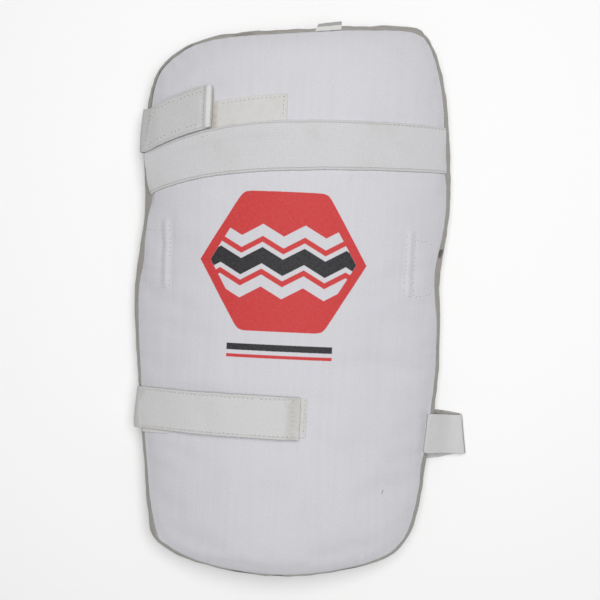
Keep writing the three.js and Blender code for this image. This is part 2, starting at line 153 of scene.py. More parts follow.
def find_bend_axis():
    """Where the bend's axis runs: its place across, its height, and its rise along the guard."""
    points = points_of(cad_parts["front_pad"])
    low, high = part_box("front_pad")
    across = (high.x + low.x) / 2
    aside = abs(points[:, 0] - across)
    inside = (aside < FIT_SHARE * (high.x - low.x)) & (abs(points[:, 1]) < FIT_SHARE * (high.y - low.y))
    crown = points[:, 2].max()
    front = points[inside & (points[:, 2] > crown - PAD_THICKNESS - aside**2 / BEND_RADIUS)]
    front = front[front[:, 2] > np.median(front[:, 2]) - PAD_THICKNESS]
    height, rise = crown - FRONT_RADIUS, 0.0
    for _ in range(FIT_ROUNDS):
        off = front[:, 0] - across
        arch = np.sqrt(FRONT_RADIUS**2 - off**2)
        miss = front[:, 2] - (height + rise * front[:, 1] + arch)
        keep = abs(miss) < PAD_HALF
        matrix = np.stack([off / arch, np.ones(len(off)), front[:, 1]], 1)[keep]
        change = np.linalg.lstsq(matrix, miss[keep], rcond=None)[0]
        across, height, rise = across + change[0], height + change[1], rise + change[2]
    return across, height, rise


axis_across, axis_height, axis_rise = find_bend_axis()


def bend(q, y, h):
    turn = q / BEND_RADIUS
    reach = BEND_RADIUS + h
    return Vector((
        axis_across + reach * math.sin(turn),
        y,
        axis_height + axis_rise * y + reach * math.cos(turn),
    ))


def unbend(points):
    """The pattern places q, y and h of points."""
    across = points[:, 0] - axis_across
    up = points[:, 2] - axis_height - axis_rise * points[:, 1]
    q = BEND_RADIUS * np.arctan2(across, up)
    return np.stack([q, points[:, 1], np.hypot(across, up) - BEND_RADIUS], 1)


def smooth_step(value, low, high):
    share = min(1.0, max(0.0, (value - low) / (high - low)))
    return share * share * (3 - 2 * share)


def outward_at(q):
    turn = q / BEND_RADIUS
    return Vector((math.sin(turn), 0, math.cos(turn)))


def skin_of(*pieces):
    """A search tree over the faces of pieces."""
    corners, faces = [], []
    for piece in pieces:
        start = len(corners)
        corners += [v.co.copy() for v in piece.data.vertices]
        faces += [[start + k for k in face.vertices] for face in piece.data.polygons]
    return BVHTree.FromPolygons(corners, faces)


def on_skin(skin, q, y):
    """The place on a skin over a pattern place, and the skin's normal there."""
    start = bend(q, y, 3 * PAD_THICKNESS)
    place, normal, _, _ = skin.ray_cast(start, -outward_at(q))
    return place, normal


def write_uv(piece, places, name="pattern"):
    """Stores each vertex's place in metres as the piece's UV map."""
    layer = piece.data.uv_layers.new(name=name)
    corners = np.empty(len(piece.data.loops), np.int32)
    piece.data.loops.foreach_get("vertex_index", corners)
    layer.data.foreach_set("uv", np.asarray(places, np.float32)[corners].ravel())
    piece.data.uv_layers.active = layer


# Shader nodes

class Nodes:
    """Adds and links nodes in one tree."""

    def __init__(self, tree):
        self.tree = tree

    def add(self, kind, inputs=None, **settings):
        made = self.tree.nodes.new(kind)
        for name, value in settings.items():
            setattr(made, name, value)
        for name, value in (inputs or {}).items():
            self.feed(made.inputs[name], value)
        return made

    def feed(self, socket, value):
        if isinstance(value, bpy.types.NodeSocket):
            self.tree.links.new(value, socket)
        else:
            socket.default_value = value

    def maths(self, operation, *values, clamp=False):
        made = self.add("ShaderNodeMath", operation=operation, use_clamp=clamp)
        for k, value in enumerate(values):
            self.feed(made.inputs[k], value)
        return made.outputs[0]

    def times(self, a, b):
        return self.maths("MULTIPLY", a, b)

    def plus(self, a, b):
        return self.maths("ADD", a, b)

    def minus(self, a, b):
        return self.maths("SUBTRACT", a, b)

    def scaled(self, value, by, plus, clamp=False):
        return self.maths("MULTIPLY_ADD", value, by, plus, clamp=clamp)

    def absolute(self, value):
        return self.maths("ABSOLUTE", value)

    def most(self, a, b):
        return self.maths("MAXIMUM", a, b)

    def step(self, value, low, high):
        """0 below low, 1 above high, smooth between."""
        made = self.add("ShaderNodeMapRange", {"Value": value, "From Min": low, "From Max": high},
                        interpolation_type="SMOOTHSTEP")
        return made.outputs["Result"]

    def mix(self, share, a, b):
        made = self.add("ShaderNodeMix", data_type="RGBA")
        for name, value in ((0, share), (6, a), (7, b)):
            self.feed(made.inputs[name], value)
        return made.outputs[2]

    def noise(self, place, size, detail=2.0, roughness=0.5):
        made = self.add("ShaderNodeTexNoise", {
            "Vector": place, "Scale": 1 / size, "Detail": detail, "Roughness": roughness})
        return made.outputs["Fac"]

    def vector_maths(self, operation, place, other):
        made = self.add("ShaderNodeVectorMath", {0: place}, operation=operation)
        made.inputs[1].default_value = other
        return made.outputs

    def stretch(self, place, x, y, z):
        return self.vector_maths("MULTIPLY", place, (x, y, z))[0]

    def distance(self, place, other):
        return self.vector_maths("DISTANCE", place, other)["Value"]

    def split(self, place):
        return self.add("ShaderNodeSeparateXYZ", {0: place}).outputs


def new_group(name, inputs, outputs):
    """A shader node group with named float, vector or colour sockets."""
    tree = bpy.data.node_groups.new(name, "ShaderNodeTree")
    kinds = {"value": "NodeSocketFloat", "place": "NodeSocketVector", "colour": "NodeSocketColor"}
    for title, (kind, start) in inputs.items():
        socket = tree.interface.new_socket(title, in_out="INPUT", socket_type=kinds[kind])
        if start is not None:
            socket.default_value = start
    for title, kind in outputs.items():
        tree.interface.new_socket(title, in_out="OUTPUT", socket_type=kinds[kind])
    nodes = Nodes(tree)
    source = nodes.add("NodeGroupInput").outputs
    target = nodes.add("NodeGroupOutput").inputs
    return tree, nodes, source, target


def weave_group():
    """Plain or twill weave from a place in metres: thread height and the shade of uneven yarns."""
    tree, n, source, target = new_group(
        "yarn weave",
        {
            "Place": ("place", None),
            "Pitch Across": ("value", MM),
            "Pitch Along": ("value", MM),
            "Twill": ("value", 0.0),
            "Unevenness": ("value", 0.5),
        },
        {"Height": "value", "Yarn Shade": "value"},
    )
    place = source["Place"]
    x, y = n.split(place)[0:2]
    wobble = n.minus(n.noise(place, 5 * MM, 3, 0.6), 0.5)
    sway = n.times(wobble, n.times(source["Unevenness"], 1.8))
    across = n.plus(n.maths("DIVIDE", x, source["Pitch Across"]), sway)
    along = n.plus(n.maths("DIVIDE", y, source["Pitch Along"]), sway)
    shift = n.times(n.maths("FLOOR", along), n.scaled(source["Twill"], -0.5, 1.0))
    warp = n.absolute(n.maths("SINE", n.times(across, math.pi)))
    weft = n.absolute(n.maths("SINE", n.times(along, math.pi)))
    turn = n.maths("SINE", n.times(n.plus(across, shift), math.pi))
    over = n.step(n.times(turn, n.maths("SINE", n.times(along, math.pi))), -0.25, 0.25)
    lifted = n.times(n.scaled(over, 0.55, 0.45), warp)
    sunk = n.times(n.scaled(over, -0.55, 1.0), weft)
    plain = n.most(lifted, sunk)
    diagonal = n.absolute(n.maths("SINE", n.times(n.plus(across, along), math.pi)))
    broken = n.absolute(n.maths("SINE", n.times(n.minus(along, across), math.pi)))
    ribs = n.scaled(diagonal, 0.62, n.times(broken, 0.38))
    height = n.plus(n.times(plain, n.minus(1.0, source["Twill"])), n.times(ribs, source["Twill"]))
    warp_slub = n.noise(n.stretch(place, 1, 0.3, 1), 0.8 * MM, 2)
    weft_slub = n.noise(n.stretch(place, 0.3, 1, 1), 0.8 * MM, 2)
    slub = n.minus(n.plus(warp_slub, weft_slub), 1.0)
    n.feed(target["Height"], n.plus(height, n.times(slub, source["Unevenness"])))
    n.feed(target["Yarn Shade"], n.scaled(slub, source["Unevenness"], 0.5))
    return tree


BLOTCH_SIZE = 38 * MM
SPECK_SIZE = 2.2 * MM


def wear_group():
    """Broad handling marks and fine specks of dust."""
    tree, n, source, target = new_group(
        "handling marks",
        {
            "Place": ("place", None),
            "Colour": ("colour", None),
            "Grime": ("colour", None),
            "Amount": ("value", 0.15),
        },
        {"Colour": "colour"},
    )
    broad = n.noise(source["Place"], BLOTCH_SIZE, 3, 0.55)
    fine = n.noise(source["Place"], SPECK_SIZE, 2, 0.6)
    blotch = n.step(broad, 0.45, 0.75)
    speckle = n.step(fine, 0.55, 0.8)
    mask = n.times(n.scaled(speckle, 0.35, n.times(blotch, 0.65)), source["Amount"])
    n.feed(target["Colour"], n.mix(mask, source["Colour"], source["Grime"]))
    return tree


def fuzz_group():
    """Looped or brushed pile: a soft tangle of short fibres."""
    tree, n, source, target = new_group(
        "brushed pile",
        {"Place": ("place", None), "Fibre": ("value", 0.6 * MM)},
        {"Height": "value", "Shade": "value"},
    )
    fine = n.add("ShaderNodeTexNoise", {
        "Vector": source["Place"], "Scale": n.maths("DIVIDE", 1.0, source["Fibre"]),
        "Detail": 3.0, "Roughness": 0.65, "Distortion": 1.2}).outputs["Fac"]
    clumps = n.noise(source["Place"], 3.5 * MM, 2, 0.5)
    n.feed(target["Height"], n.scaled(clumps, 0.45, n.times(fine, 0.55)))
    n.feed(target["Shade"], n.scaled(fine, 0.6, n.times(clumps, 0.4)))
    return tree


WEAVE = weave_group()
WEAR = wear_group()
FUZZ = fuzz_group()

# Print on the front: a rounded hexagon with zigzag stripes, and two plain rules below it
PRINT_ACROSS = -4.2 * MM
PRINT_ALONG = 23 * MM
PRINT_HALF_HEIGHT = 47 * MM
PRINT_ROUNDING = 6 * MM
ZIGZAG_PERIOD = 27 * MM
ZIGZAG_RISE = 8 * MM
RULE_HALF_LENGTH = 34 * MM
PRINT_SOFTNESS = 0.25 * MM
PRINT_FRAY = 0.5 * MM
RED_BORDER = 6 * MM
WHITE_STRIPE_OFF = 17 * MM
WHITE_STRIPE_HALF = 4 * MM
MIDDLE_STRIPE_HALF = 9 * MM
BLACK_STRIPE_HALF = 5.5 * MM
BLACK_RULE = {"along": -58 * MM, "half_width": 2.2 * MM}
RED_RULE = {"along": -64 * MM, "half_width": 1.1 * MM}


def print_group():
    """Where the red and the black ink lie, from a place on the flat pattern."""
    tree, n, source, target = new_group(
        "front print", {"Place": ("place", None)}, {"Red": "value", "Black": "value", "Ink": "value"})
    x, y = n.split(source["Place"])[0:2]
    x = n.minus(x, PRINT_ACROSS)
    y = n.minus(y, PRINT_ALONG)
    frayed = n.times(n.minus(n.noise(source["Place"], 0.8 * MM, 2), 0.5), PRINT_FRAY)

    def inside(distance):
        return n.step(n.plus(distance, frayed), PRINT_SOFTNESS, -PRINT_SOFTNESS)

    def stripe(offset, half_width):
        return n.minus(n.absolute(n.minus(wave, offset)), half_width)

    wide = n.absolute(x)
    tall = n.absolute(y)
    slanted = n.plus(n.times(wide, math.cos(math.radians(30))), n.times(tall, 0.5))
    hexagon = n.minus(n.maths("SMOOTH_MAX", slanted, tall, PRINT_ROUNDING), PRINT_HALF_HEIGHT)
    fold = n.maths("PINGPONG", n.plus(x, ZIGZAG_PERIOD), ZIGZAG_PERIOD / 2)
    zigzag = n.times(fold, 2 * ZIGZAG_RISE / ZIGZAG_PERIOD)
    wave = n.minus(y, n.minus(zigzag, ZIGZAG_RISE / 2))
    shape = inside(hexagon)
    core = inside(n.plus(hexagon, RED_BORDER))
    white = inside(stripe(0.0, MIDDLE_STRIPE_HALF))
    for off in (WHITE_STRIPE_OFF, -WHITE_STRIPE_OFF):
        white = n.most(white, inside(stripe(off, WHITE_STRIPE_HALF)))
    black = n.times(inside(stripe(0.0, BLACK_STRIPE_HALF)), core)
    red = n.times(shape, n.minus(1.0, n.times(white, core)))

    def rule(along, half_width):
        ends = n.minus(wide, RULE_HALF_LENGTH)
        return inside(n.most(n.minus(n.absolute(n.minus(y, along)), half_width), ends))

    black = n.most(black, rule(**BLACK_RULE))
    red = n.most(red, rule(**RED_RULE))
    n.feed(target["Red"], red)
    n.feed(target["Black"], black)
    n.feed(target["Ink"], n.most(red, black))
    return tree


PRINT = print_group()


# Materials

def new_material(name, roughness, sheen=0.0):
    material = bpy.data.materials.new(name)
    material.use_nodes = True
    nodes = Nodes(material.node_tree)
    shader = material.node_tree.nodes["Principled BSDF"]
    shader.inputs["Roughness"].default_value = roughness
    shader.inputs["Specular IOR Level"].default_value = 0.25
    shader.inputs["Sheen Weight"].default_value = sheen
    shader.inputs["Sheen Roughness"].default_value = 0.5
    return material, nodes, shader


def place_group(nodes, tree, inputs):
    made = nodes.add("ShaderNodeGroup", node_tree=tree)
    for name, value in inputs.items():
        nodes.feed(made.inputs[name], value)
    return made.outputs


def stored_place(nodes, layer="pattern"):
    """What write_uv stored: the place on the pattern, or how far the seam or a strip's edges are."""
    return nodes.add("ShaderNodeUVMap", uv_map=layer).outputs["UV"]


def object_place(nodes):
    return nodes.add("ShaderNodeTexCoord").outputs["Object"]


def bump(nodes, shader, height, depth, strength=1.0):
    made = nodes.add("ShaderNodeBump", {"Height": height, "Distance": depth, "Strength": strength})
    nodes.feed(shader.inputs["Normal"], made.outputs["Normal"])


def shade_by(nodes, colour, shade, contrast):
    """Lightens and darkens a colour by a shade round one half."""
    swing = nodes.scaled(nodes.minus(shade, 0.5), contrast, 1.0)
    made = nodes.add("ShaderNodeMix", {0: 1.0, 6: colour}, data_type="RGBA", blend_type="MULTIPLY")
    nodes.feed(made.inputs[7], swing)
    return made.outputs[2]


PANEL_WHITE = (0.6, 0.595, 0.63, 1.0)
PANEL_GRIME = (0.46, 0.46, 0.5, 1.0)
RED_INK = (0.55, 0.032, 0.032, 1.0)
BLACK_INK = (0.014, 0.014, 0.016, 1.0)
# Painted shade: the panel is painted greyer towards its seam, where the front rounds away from the light
EDGE_SHADE_GREY = (0.3, 0.31, 0.31, 1.0)
EDGE_SHADE_AMOUNT = 0.2
EDGE_SHADE_REACH = 10 * MM


def panel_cloth():
    material, n, shader = new_material("panel cotton", 0.85, 0.15)
    place = stored_place(n)
    weave = place_group(n, WEAVE, {
        "Place": place, "Pitch Across": 1.5 * MM, "Pitch Along": 1.3 * MM, "Unevenness": 0.7})
    printed = place_group(n, PRINT, {"Place": place})
    marked = place_group(n, WEAR, {
        "Place": place, "Colour": PANEL_WHITE, "Grime": PANEL_GRIME, "Amount": 0.16})
    cords = n.noise(n.stretch(place, 1, 0.04, 1), 3.2 * MM, 1)
    grain = n.noise(place, 1.1 * MM, 3, 0.7)
    yarn = n.scaled(weave["Height"], 0.06, n.times(weave["Yarn Shade"], 0.25))
    yarn = n.plus(yarn, n.scaled(n.minus(grain, 0.5), 1.1, 0.32))
    yarn = n.scaled(n.minus(cords, 0.5), 0.3, yarn)
    cloth = shade_by(n, marked["Colour"], yarn, 0.21)
    # Painted shade near the seam, where the front rounds over towards the side strip
    off = n.split(stored_place(n, "seam"))[0]
    seam_shade = n.times(n.maths("EXPONENT", n.times(off, -1 / EDGE_SHADE_REACH)), EDGE_SHADE_AMOUNT)
    cloth = n.mix(seam_shade, cloth, EDGE_SHADE_GREY)
    worn = n.scaled(weave["Yarn Shade"], 0.12, 0.92, clamp=True)
    inked = n.mix(n.times(printed["Red"], worn), cloth, RED_INK)
    inked = n.mix(n.times(printed["Black"], worn), inked, BLACK_INK)
    n.feed(shader.inputs["Base Color"], inked)
    n.feed(shader.inputs["Roughness"], n.scaled(printed["Ink"], -0.22, 0.84))
    bump(n, shader, n.plus(weave["Height"], n.times(grain, 1.6)), 0.08 * MM, 0.6)
    return material


COVER_GREY = (0.33, 0.315, 0.29, 1.0)
COVER_GRIME = (0.2, 0.18, 0.15, 1.0)
STAIN_DARK = (0.035, 0.028, 0.018, 1.0)
STAIN_PLACE = (95.4 * MM, 35.1 * MM, 18 * MM)
STAIN_SIZE = 4.0 * MM
# Painted shadow in the gaps where the side strip's seam pulls in and shows as a dark line: place and half
# length in mm, and darkness
SEAM_SHADOW_DARK = (0.06, 0.055, 0.05, 1.0)
SEAM_SHADOWS = [
    {"x": -106, "y": 138, "half": 30, "dark": 0.55},
    {"x": -88, "y": 166, "half": 7, "dark": 0.75},
    {"x": -49, "y": 178, "half": 9, "dark": 0.3},
    {"x": -34, "y": -190, "half": 10, "dark": 0.75},
    {"x": -9, "y": -191, "half": 5, "dark": 0.85},
    {"x": 38, "y": -188, "half": 9, "dark": 0.5},
]


def cover_cloth():
    material, n, shader = new_material("cover knit", 0.92, 0.2)
    place = object_place(n)
    pile = place_group(n, FUZZ, {"Place": place, "Fibre": 0.9 * MM})
    marked = place_group(n, WEAR, {
        "Place": place, "Colour": COVER_GREY, "Grime": COVER_GRIME, "Amount": 0.35})
    shaded = shade_by(n, marked["Colour"], pile["Shade"], 0.5)
    blurred = n.plus(n.distance(place, STAIN_PLACE), n.times(n.noise(place, 3 * MM), 4 * MM))
    mottle = n.scaled(n.noise(place, 1.6 * MM, 3, 0.7), 1.3, 0.25, clamp=True)
    stain = n.times(n.step(blurred, STAIN_SIZE + 1.6 * MM, STAIN_SIZE), mottle)
    # Painted shadow in the seam's gaps at the listed places
    off = n.split(stored_place(n, "seam"))[0]
    seam_gap = n.step(off, 1.6 * MM, 0.6 * MM)
    level = n.stretch(place, 1, 1, 0)
    for mark in SEAM_SHADOWS:
        far = n.distance(level, (mark["x"] * MM, mark["y"] * MM, 0))
        faded = n.step(far, mark["half"] * MM, 0.6 * mark["half"] * MM)
        shaded = n.mix(n.times(n.times(seam_gap, faded), mark["dark"]), shaded, SEAM_SHADOW_DARK)
    n.feed(shader.inputs["Base Color"], n.mix(n.times(stain, 0.85), shaded, STAIN_DARK))
    bump(n, shader, pile["Height"], 0.5 * MM, 0.7)
    return material


SELVAGE_LINE = 1.5 * MM
# Brown for real soiling, also used for painted shade at the strips' edges and beside the waist strap's hem
SOIL_AND_SHADE_BROWN = (0.3, 0.25, 0.18, 1.0)
SOIL_REACH = 6.5 * MM
WEBBING_GRIME = (0.42, 0.4, 0.36, 1.0)
# Painted highlight on the waist strap's rolled hem
HEM_HIGHLIGHT_WHITE = (0.63, 0.625, 0.62, 1.0)


def webbing(name, colour, pitch, twill, contrast, line_depth=0.3, soil_q=None, hem_highlight_q=None):
    """Elastic webbing with a line along each selvage and painted shade at its very edges, and soiling or a
    painted highlight on the hem at its end.
    """
    material, n, shader = new_material(name, 0.88, 0.2)
    place = stored_place(n)
    weave = place_group(n, WEAVE, {
        "Place": place, "Pitch Across": pitch, "Pitch Along": pitch, "Twill": twill, "Unevenness": 0.35})
    marked = place_group(n, WEAR, {
        "Place": place, "Colour": colour, "Grime": WEBBING_GRIME, "Amount": 0.3})
    low, high = n.split(stored_place(n, "edges"))[0:2]
    inward = n.maths("MINIMUM", low, high)
    line = n.step(n.absolute(n.minus(inward, SELVAGE_LINE)), 0.55 * MM, 0.1 * MM)
    # The outermost millimetre is darkened: partly the selvage's own tone, partly painted shade where the
    # strip meets what lies under it
    rim = n.step(inward, 0.9 * MM, 0.0)
    selvage_and_rim_shade = n.plus(n.times(line, line_depth), n.times(rim, 0.3))
    soil_and_painted_light = n.mix(n.times(selvage_and_rim_shade, 0.5), marked["Colour"], SOIL_AND_SHADE_BROWN)
    if soil_q is not None:
        along = n.absolute(n.minus(n.split(place)[0], soil_q))
        ragged = n.plus(along, n.times(n.minus(n.noise(place, 4 * MM, 3), 0.5), 9 * MM))
        soil_and_painted_light = n.mix(n.times(n.step(ragged, SOIL_REACH, 1 * MM), 0.22), soil_and_painted_light, SOIL_AND_SHADE_BROWN)
    # The hem's paler roll is a painted highlight
    if hem_highlight_q is not None:
        hem_highlight = n.step(n.split(place)[0], hem_highlight_q - 0.4 * MM, hem_highlight_q + 0.8 * MM)
        soil_and_painted_light = n.mix(hem_highlight, soil_and_painted_light, HEM_HIGHLIGHT_WHITE)
    rib = n.scaled(weave["Height"], 0.7, n.times(weave["Yarn Shade"], 0.3))
    n.feed(shader.inputs["Base Color"], shade_by(n, soil_and_painted_light, rib, contrast))
    bump(n, shader, n.minus(weave["Height"], n.times(line, 3 * line_depth)), 0.22 * MM, 0.7)
    return material


LOOP_CREAM = (0.6, 0.595, 0.584, 1.0)
LOOP_GRIME = (0.47, 0.445, 0.39, 1.0)
# Painted shadow on the upper patch beside the strap's raised hem
HEM_SHADOW_Q = -54.5 * MM
HEM_SHADOW_REACH = 5 * MM


def loop_tape():
    material, n, shader = new_material("loop tape", 0.95, 0.5)
    place = stored_place(n)
    pile = place_group(n, FUZZ, {"Place": place, "Fibre": 0.7 * MM})
    marked = place_group(n, WEAR, {
        "Place": place, "Colour": LOOP_CREAM, "Grime": LOOP_GRIME, "Amount": 0.4})
    x, y = n.split(place)[0:2]
    # Painted shadow beside the strap's hem, stronger lower down
    beside = n.step(n.absolute(n.minus(x, HEM_SHADOW_Q)), HEM_SHADOW_REACH, 0.5 * MM)
    beside = n.times(beside, n.scaled(n.step(y, 140 * MM, 118 * MM), 0.6, 0.4))
    ragged = n.times(beside, n.scaled(n.noise(place, 4 * MM, 3), 0.8, 0.1))
    soil_and_painted_light = n.mix(ragged, marked["Colour"], SOIL_AND_SHADE_BROWN)
    n.feed(shader.inputs["Base Color"], shade_by(n, soil_and_painted_light, pile["Shade"], 0.3))
    bump(n, shader, pile["Height"], 0.45 * MM, 0.8)
    return material


HOOK_CREAM = (0.47, 0.45, 0.4, 1.0)


def hook_tape():
    material, n, shader = new_material("hook tape", 0.6, 0.1)
    place = stored_place(n)
    pile = place_group(n, FUZZ, {"Place": place, "Fibre": 0.9 * MM})
    n.feed(shader.inputs["Base Color"], shade_by(n, HOOK_CREAM, pile["Shade"], 0.5))
    bump(n, shader, pile["Height"], 0.5 * MM, 0.8)
    return material


def thread(name, colour):
    material, n, shader = new_material(name, 0.6, 0.2)
    place = object_place(n)
    twist = n.noise(place, 0.4 * MM, 2)
    n.feed(shader.inputs["Base Color"], shade_by(n, colour, twist, 0.5))
    bump(n, shader, twist, 0.1 * MM, 0.5)
    return material


LABEL_WHITE = (0.66, 0.66, 0.64, 1.0)
LABEL_GREY = (0.36, 0.355, 0.345, 1.0)
LABEL_FOLD = 3.6 * MM


def label_cloth():
    material, n, shader = new_material("label tape", 0.6, 0.2)
    place = stored_place(n)
    weave = place_group(n, WEAVE, {"Place": place, "Pitch Across": 0.5 * MM, "Pitch Along": 0.5 * MM})
    low = n.split(stored_place(n, "edges"))[0]
    folded = n.step(low, LABEL_FOLD - 0.2 * MM, LABEL_FOLD + 0.2 * MM)
    two_tone = n.mix(folded, LABEL_WHITE, LABEL_GREY)
    n.feed(shader.inputs["Base Color"], shade_by(n, two_tone, weave["Yarn Shade"], 0.2))
    bump(n, shader, n.minus(weave["Height"], n.times(folded, 4.0)), 0.05 * MM, 0.5)
    return material


PANEL_CLOTH = panel_cloth()
COVER_CLOTH = cover_cloth()
BAND_WEBBING = webbing(
    "band webbing", (0.565, 0.563, 0.577, 1.0), pitch=1.6 * MM, twill=0.6, contrast=0.28, line_depth=0.55)
WAIST_WEBBING = webbing(
    "waist webbing", (0.525, 0.524, 0.53, 1.0), pitch=1.75 * MM, twill=1.0, contrast=0.4, hem_highlight_q=-59.2 * MM)
THIGH_WEBBING = webbing(
    "thigh webbing", (0.58, 0.578, 0.58, 1.0), pitch=1.75 * MM, twill=1.0, contrast=0.24, soil_q=6 * MM)
# Darker webbing as painted shade on the tab's lower leaf and fold
TAB_SHADE_WEBBING = webbing("tab painted shade", (0.36, 0.345, 0.32, 1.0), pitch=1.75 * MM, twill=1.0, contrast=0.2)
TAB_WEBBING = webbing(
    "tab webbing", (0.58, 0.578, 0.583, 1.0), pitch=1.9 * MM, twill=1.0, contrast=0.34, line_depth=0.1)
LOOP_TAPE = loop_tape()
HOOK_TAPE = hook_tape()
PALE_THREAD = thread("pale thread", (0.6, 0.59, 0.57, 1.0))
# Dark beads standing in for the shade inside needle holes: painted shade
DARK_HOLE_SHADE = thread("dark needle hole shade", (0.17, 0.155, 0.13, 1.0))
FAINT_HOLE_SHADE = thread("faint needle hole shade", (0.28, 0.275, 0.27, 1.0))
DARK_THREAD = thread("loose thread", (0.03, 0.03, 0.035, 1.0))
PATCH_FIBRES = thread("frayed fibres", (0.6, 0.58, 0.54, 1.0))
LABEL_CLOTH = label_cloth()


def finish_piece(piece, material, slot, *nodes):
    piece.data.materials.clear()
    piece.data.materials.append(material)
    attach(piece, "root")
    if nodes:
        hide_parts(*nodes)


# The seam between the front panel and the side strip

def seam_loop():
    """The seam's points in order, read off the pad's sharp outer rim."""
    rim = soft_copy("front_pad", "seam finder", 0, 0)
    grid = bmesh.new()
    grid.from_mesh(rim.data)
    sharp = {e for e in grid.edges if e.calc_face_angle(0) > SHARP_ANGLE and e.is_convex}
    start = max(sharp, key=lambda e: e.verts[0].co.x)
    loop = [start.verts[0], start.verts[1]]
    while loop[-1] is not loop[0]:
        onward = [e.other_vert(loop[-1]) for e in loop[-1].link_edges if e in sharp]
        onward = [v for v in onward if v is not loop[-2]]
        if not onward:
            break
        loop.append(onward[0])
    points = [v.co.copy() for v in loop]
    grid.free()
    bpy.data.objects.remove(rim)
    return points


# How far in the front's rounded edge reaches
ROLL_REACH = 6.5 * MM


class Seam:
    """Finds how far a point is from the seam, and where along it."""

    def __init__(self, loop, step=2 * MM):
        self.places = []
        self.lengths = []
        length = 0.0
        for a, b in zip(loop, loop[1:]):
            count = max(1, round((b - a).length / step))
            for k in range(count):
                self.places.append(a.lerp(b, k / count))
                self.lengths.append(length + (b - a).length * k / count)
            length += (b - a).length
        self.drops = PAD_HALF - unbend(np.array(self.places))[:, 2]
        self.tree = KDTree(len(self.places))
        for k, place in enumerate(self.places):
            self.tree.insert(place, k)
        self.tree.balance()

    def near(self, point):
        _, k, distance = self.tree.find(point)
        return distance, self.lengths[k]

    def roll_height(self, point):
        """How high the front's rounded edge stands at a point."""
        _, k, distance = self.tree.find(point)
        return PAD_HALF - self.drops[k] * math.exp(-distance / ROLL_REACH)


seam = Seam(seam_loop())

# Where the real seam and edge leave the plain outline, in mm: place, reach along, shift, reach off the seam
EDGE_SHIFTS = [
    {"x": 99, "y": 103, "along": 17, "shift": (-2.0, 0), "off": 4},
    {"x": 94, "y": 24, "along": 16, "shift": (-1.2, 0), "off": 7},
    {"x": 94, "y": -12, "along": 12, "shift": (0.9, 0), "off": 7},
    {"x": 90, "y": -114, "along": 10, "shift": (-1.4, 0), "off": 12},
    {"x": -106, "y": 158, "along": 17, "shift": (-1.2, 0.9), "off": 14},
    {"x": -113, "y": 65, "along": 9, "shift": (2.8, 0), "off": 4},
    {"x": -117, "y": 20, "along": 12, "shift": (1.7, 0), "off": 4},
    {"x": -93, "y": -174, "along": 7, "shift": (-2.0, -0.8), "off": 5},
    {"x": -16, "y": 180, "along": 42, "shift": (0, -1.4), "off": 14},
    {"x": 45, "y": 184, "along": 22, "shift": (0, -1.1), "off": 4},
]


def edge_shift(point, distance):
    """How far the edge is drawn aside at a point some way off the seam."""
    x, y = point[0] / MM, point[1] / MM
    across = along = 0.0
    for shift in EDGE_SHIFTS:
        gap = math.hypot(x - shift["x"], y - shift["y"]) / shift["along"]
        if gap < 3:
            share = math.exp(-gap * gap - (distance / MM / shift["off"]) ** 2)
            across += shift["shift"][0] * share
            along += shift["shift"][1] * share
    return np.array([across * MM, along * MM, 0.0])


def shift_edges(piece):
    """Draws a piece's points aside with the pad's edge."""
    points = points_of(piece)
    set_points(piece, [p + edge_shift(p, seam.near(p)[0]) for p in points])


def pucker(length, spacing, seed):
    """A gathered seam's irregular rise and fall, from -1 to 1."""
    drift = noise.noise(Vector((length / (3 * spacing), seed, 0.0)))
    fine = noise.noise(Vector((length / spacing, seed + 7.3, 0.0)))
    swing = math.sin(math.tau * (length / spacing + 1.4 * drift))
    return swing * (0.45 + 0.55 * abs(drift) * 2) * 0.7 + 0.5 * fine


# What lies on the front panel, which may not rise under it
STRIP_NODES = (
    "front_band", "waist_patch", "waist_strap", "waist_hook_tape",
    "thigh_patch", "thigh_strap", "thigh_hook_tape",
)
strips = skin_of(*(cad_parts[node] for node in STRIP_NODES))


def room_over(point):
    """0 where a strip touches the panel, rising to 1 a little way off it."""
    return smooth_step(strips.find_nearest(Vector(point))[3], 0.6 * MM, 6 * MM)


# The front simulated as cloth over its foam: coarse copy, pressure, growth and a cap on what moves
CLOTH_VOXEL = 5 * MM
CLOTH_FRAMES = 20
CLOTH_PRESSURE = 4
CLOTH_GROWTH = 0.012
CLOTH_CAP = 2.2 * MM
CLOTH_SHARE = 0.55
CLOTH_NEAREST = 8
CLOTH_BLUR = 4 * MM


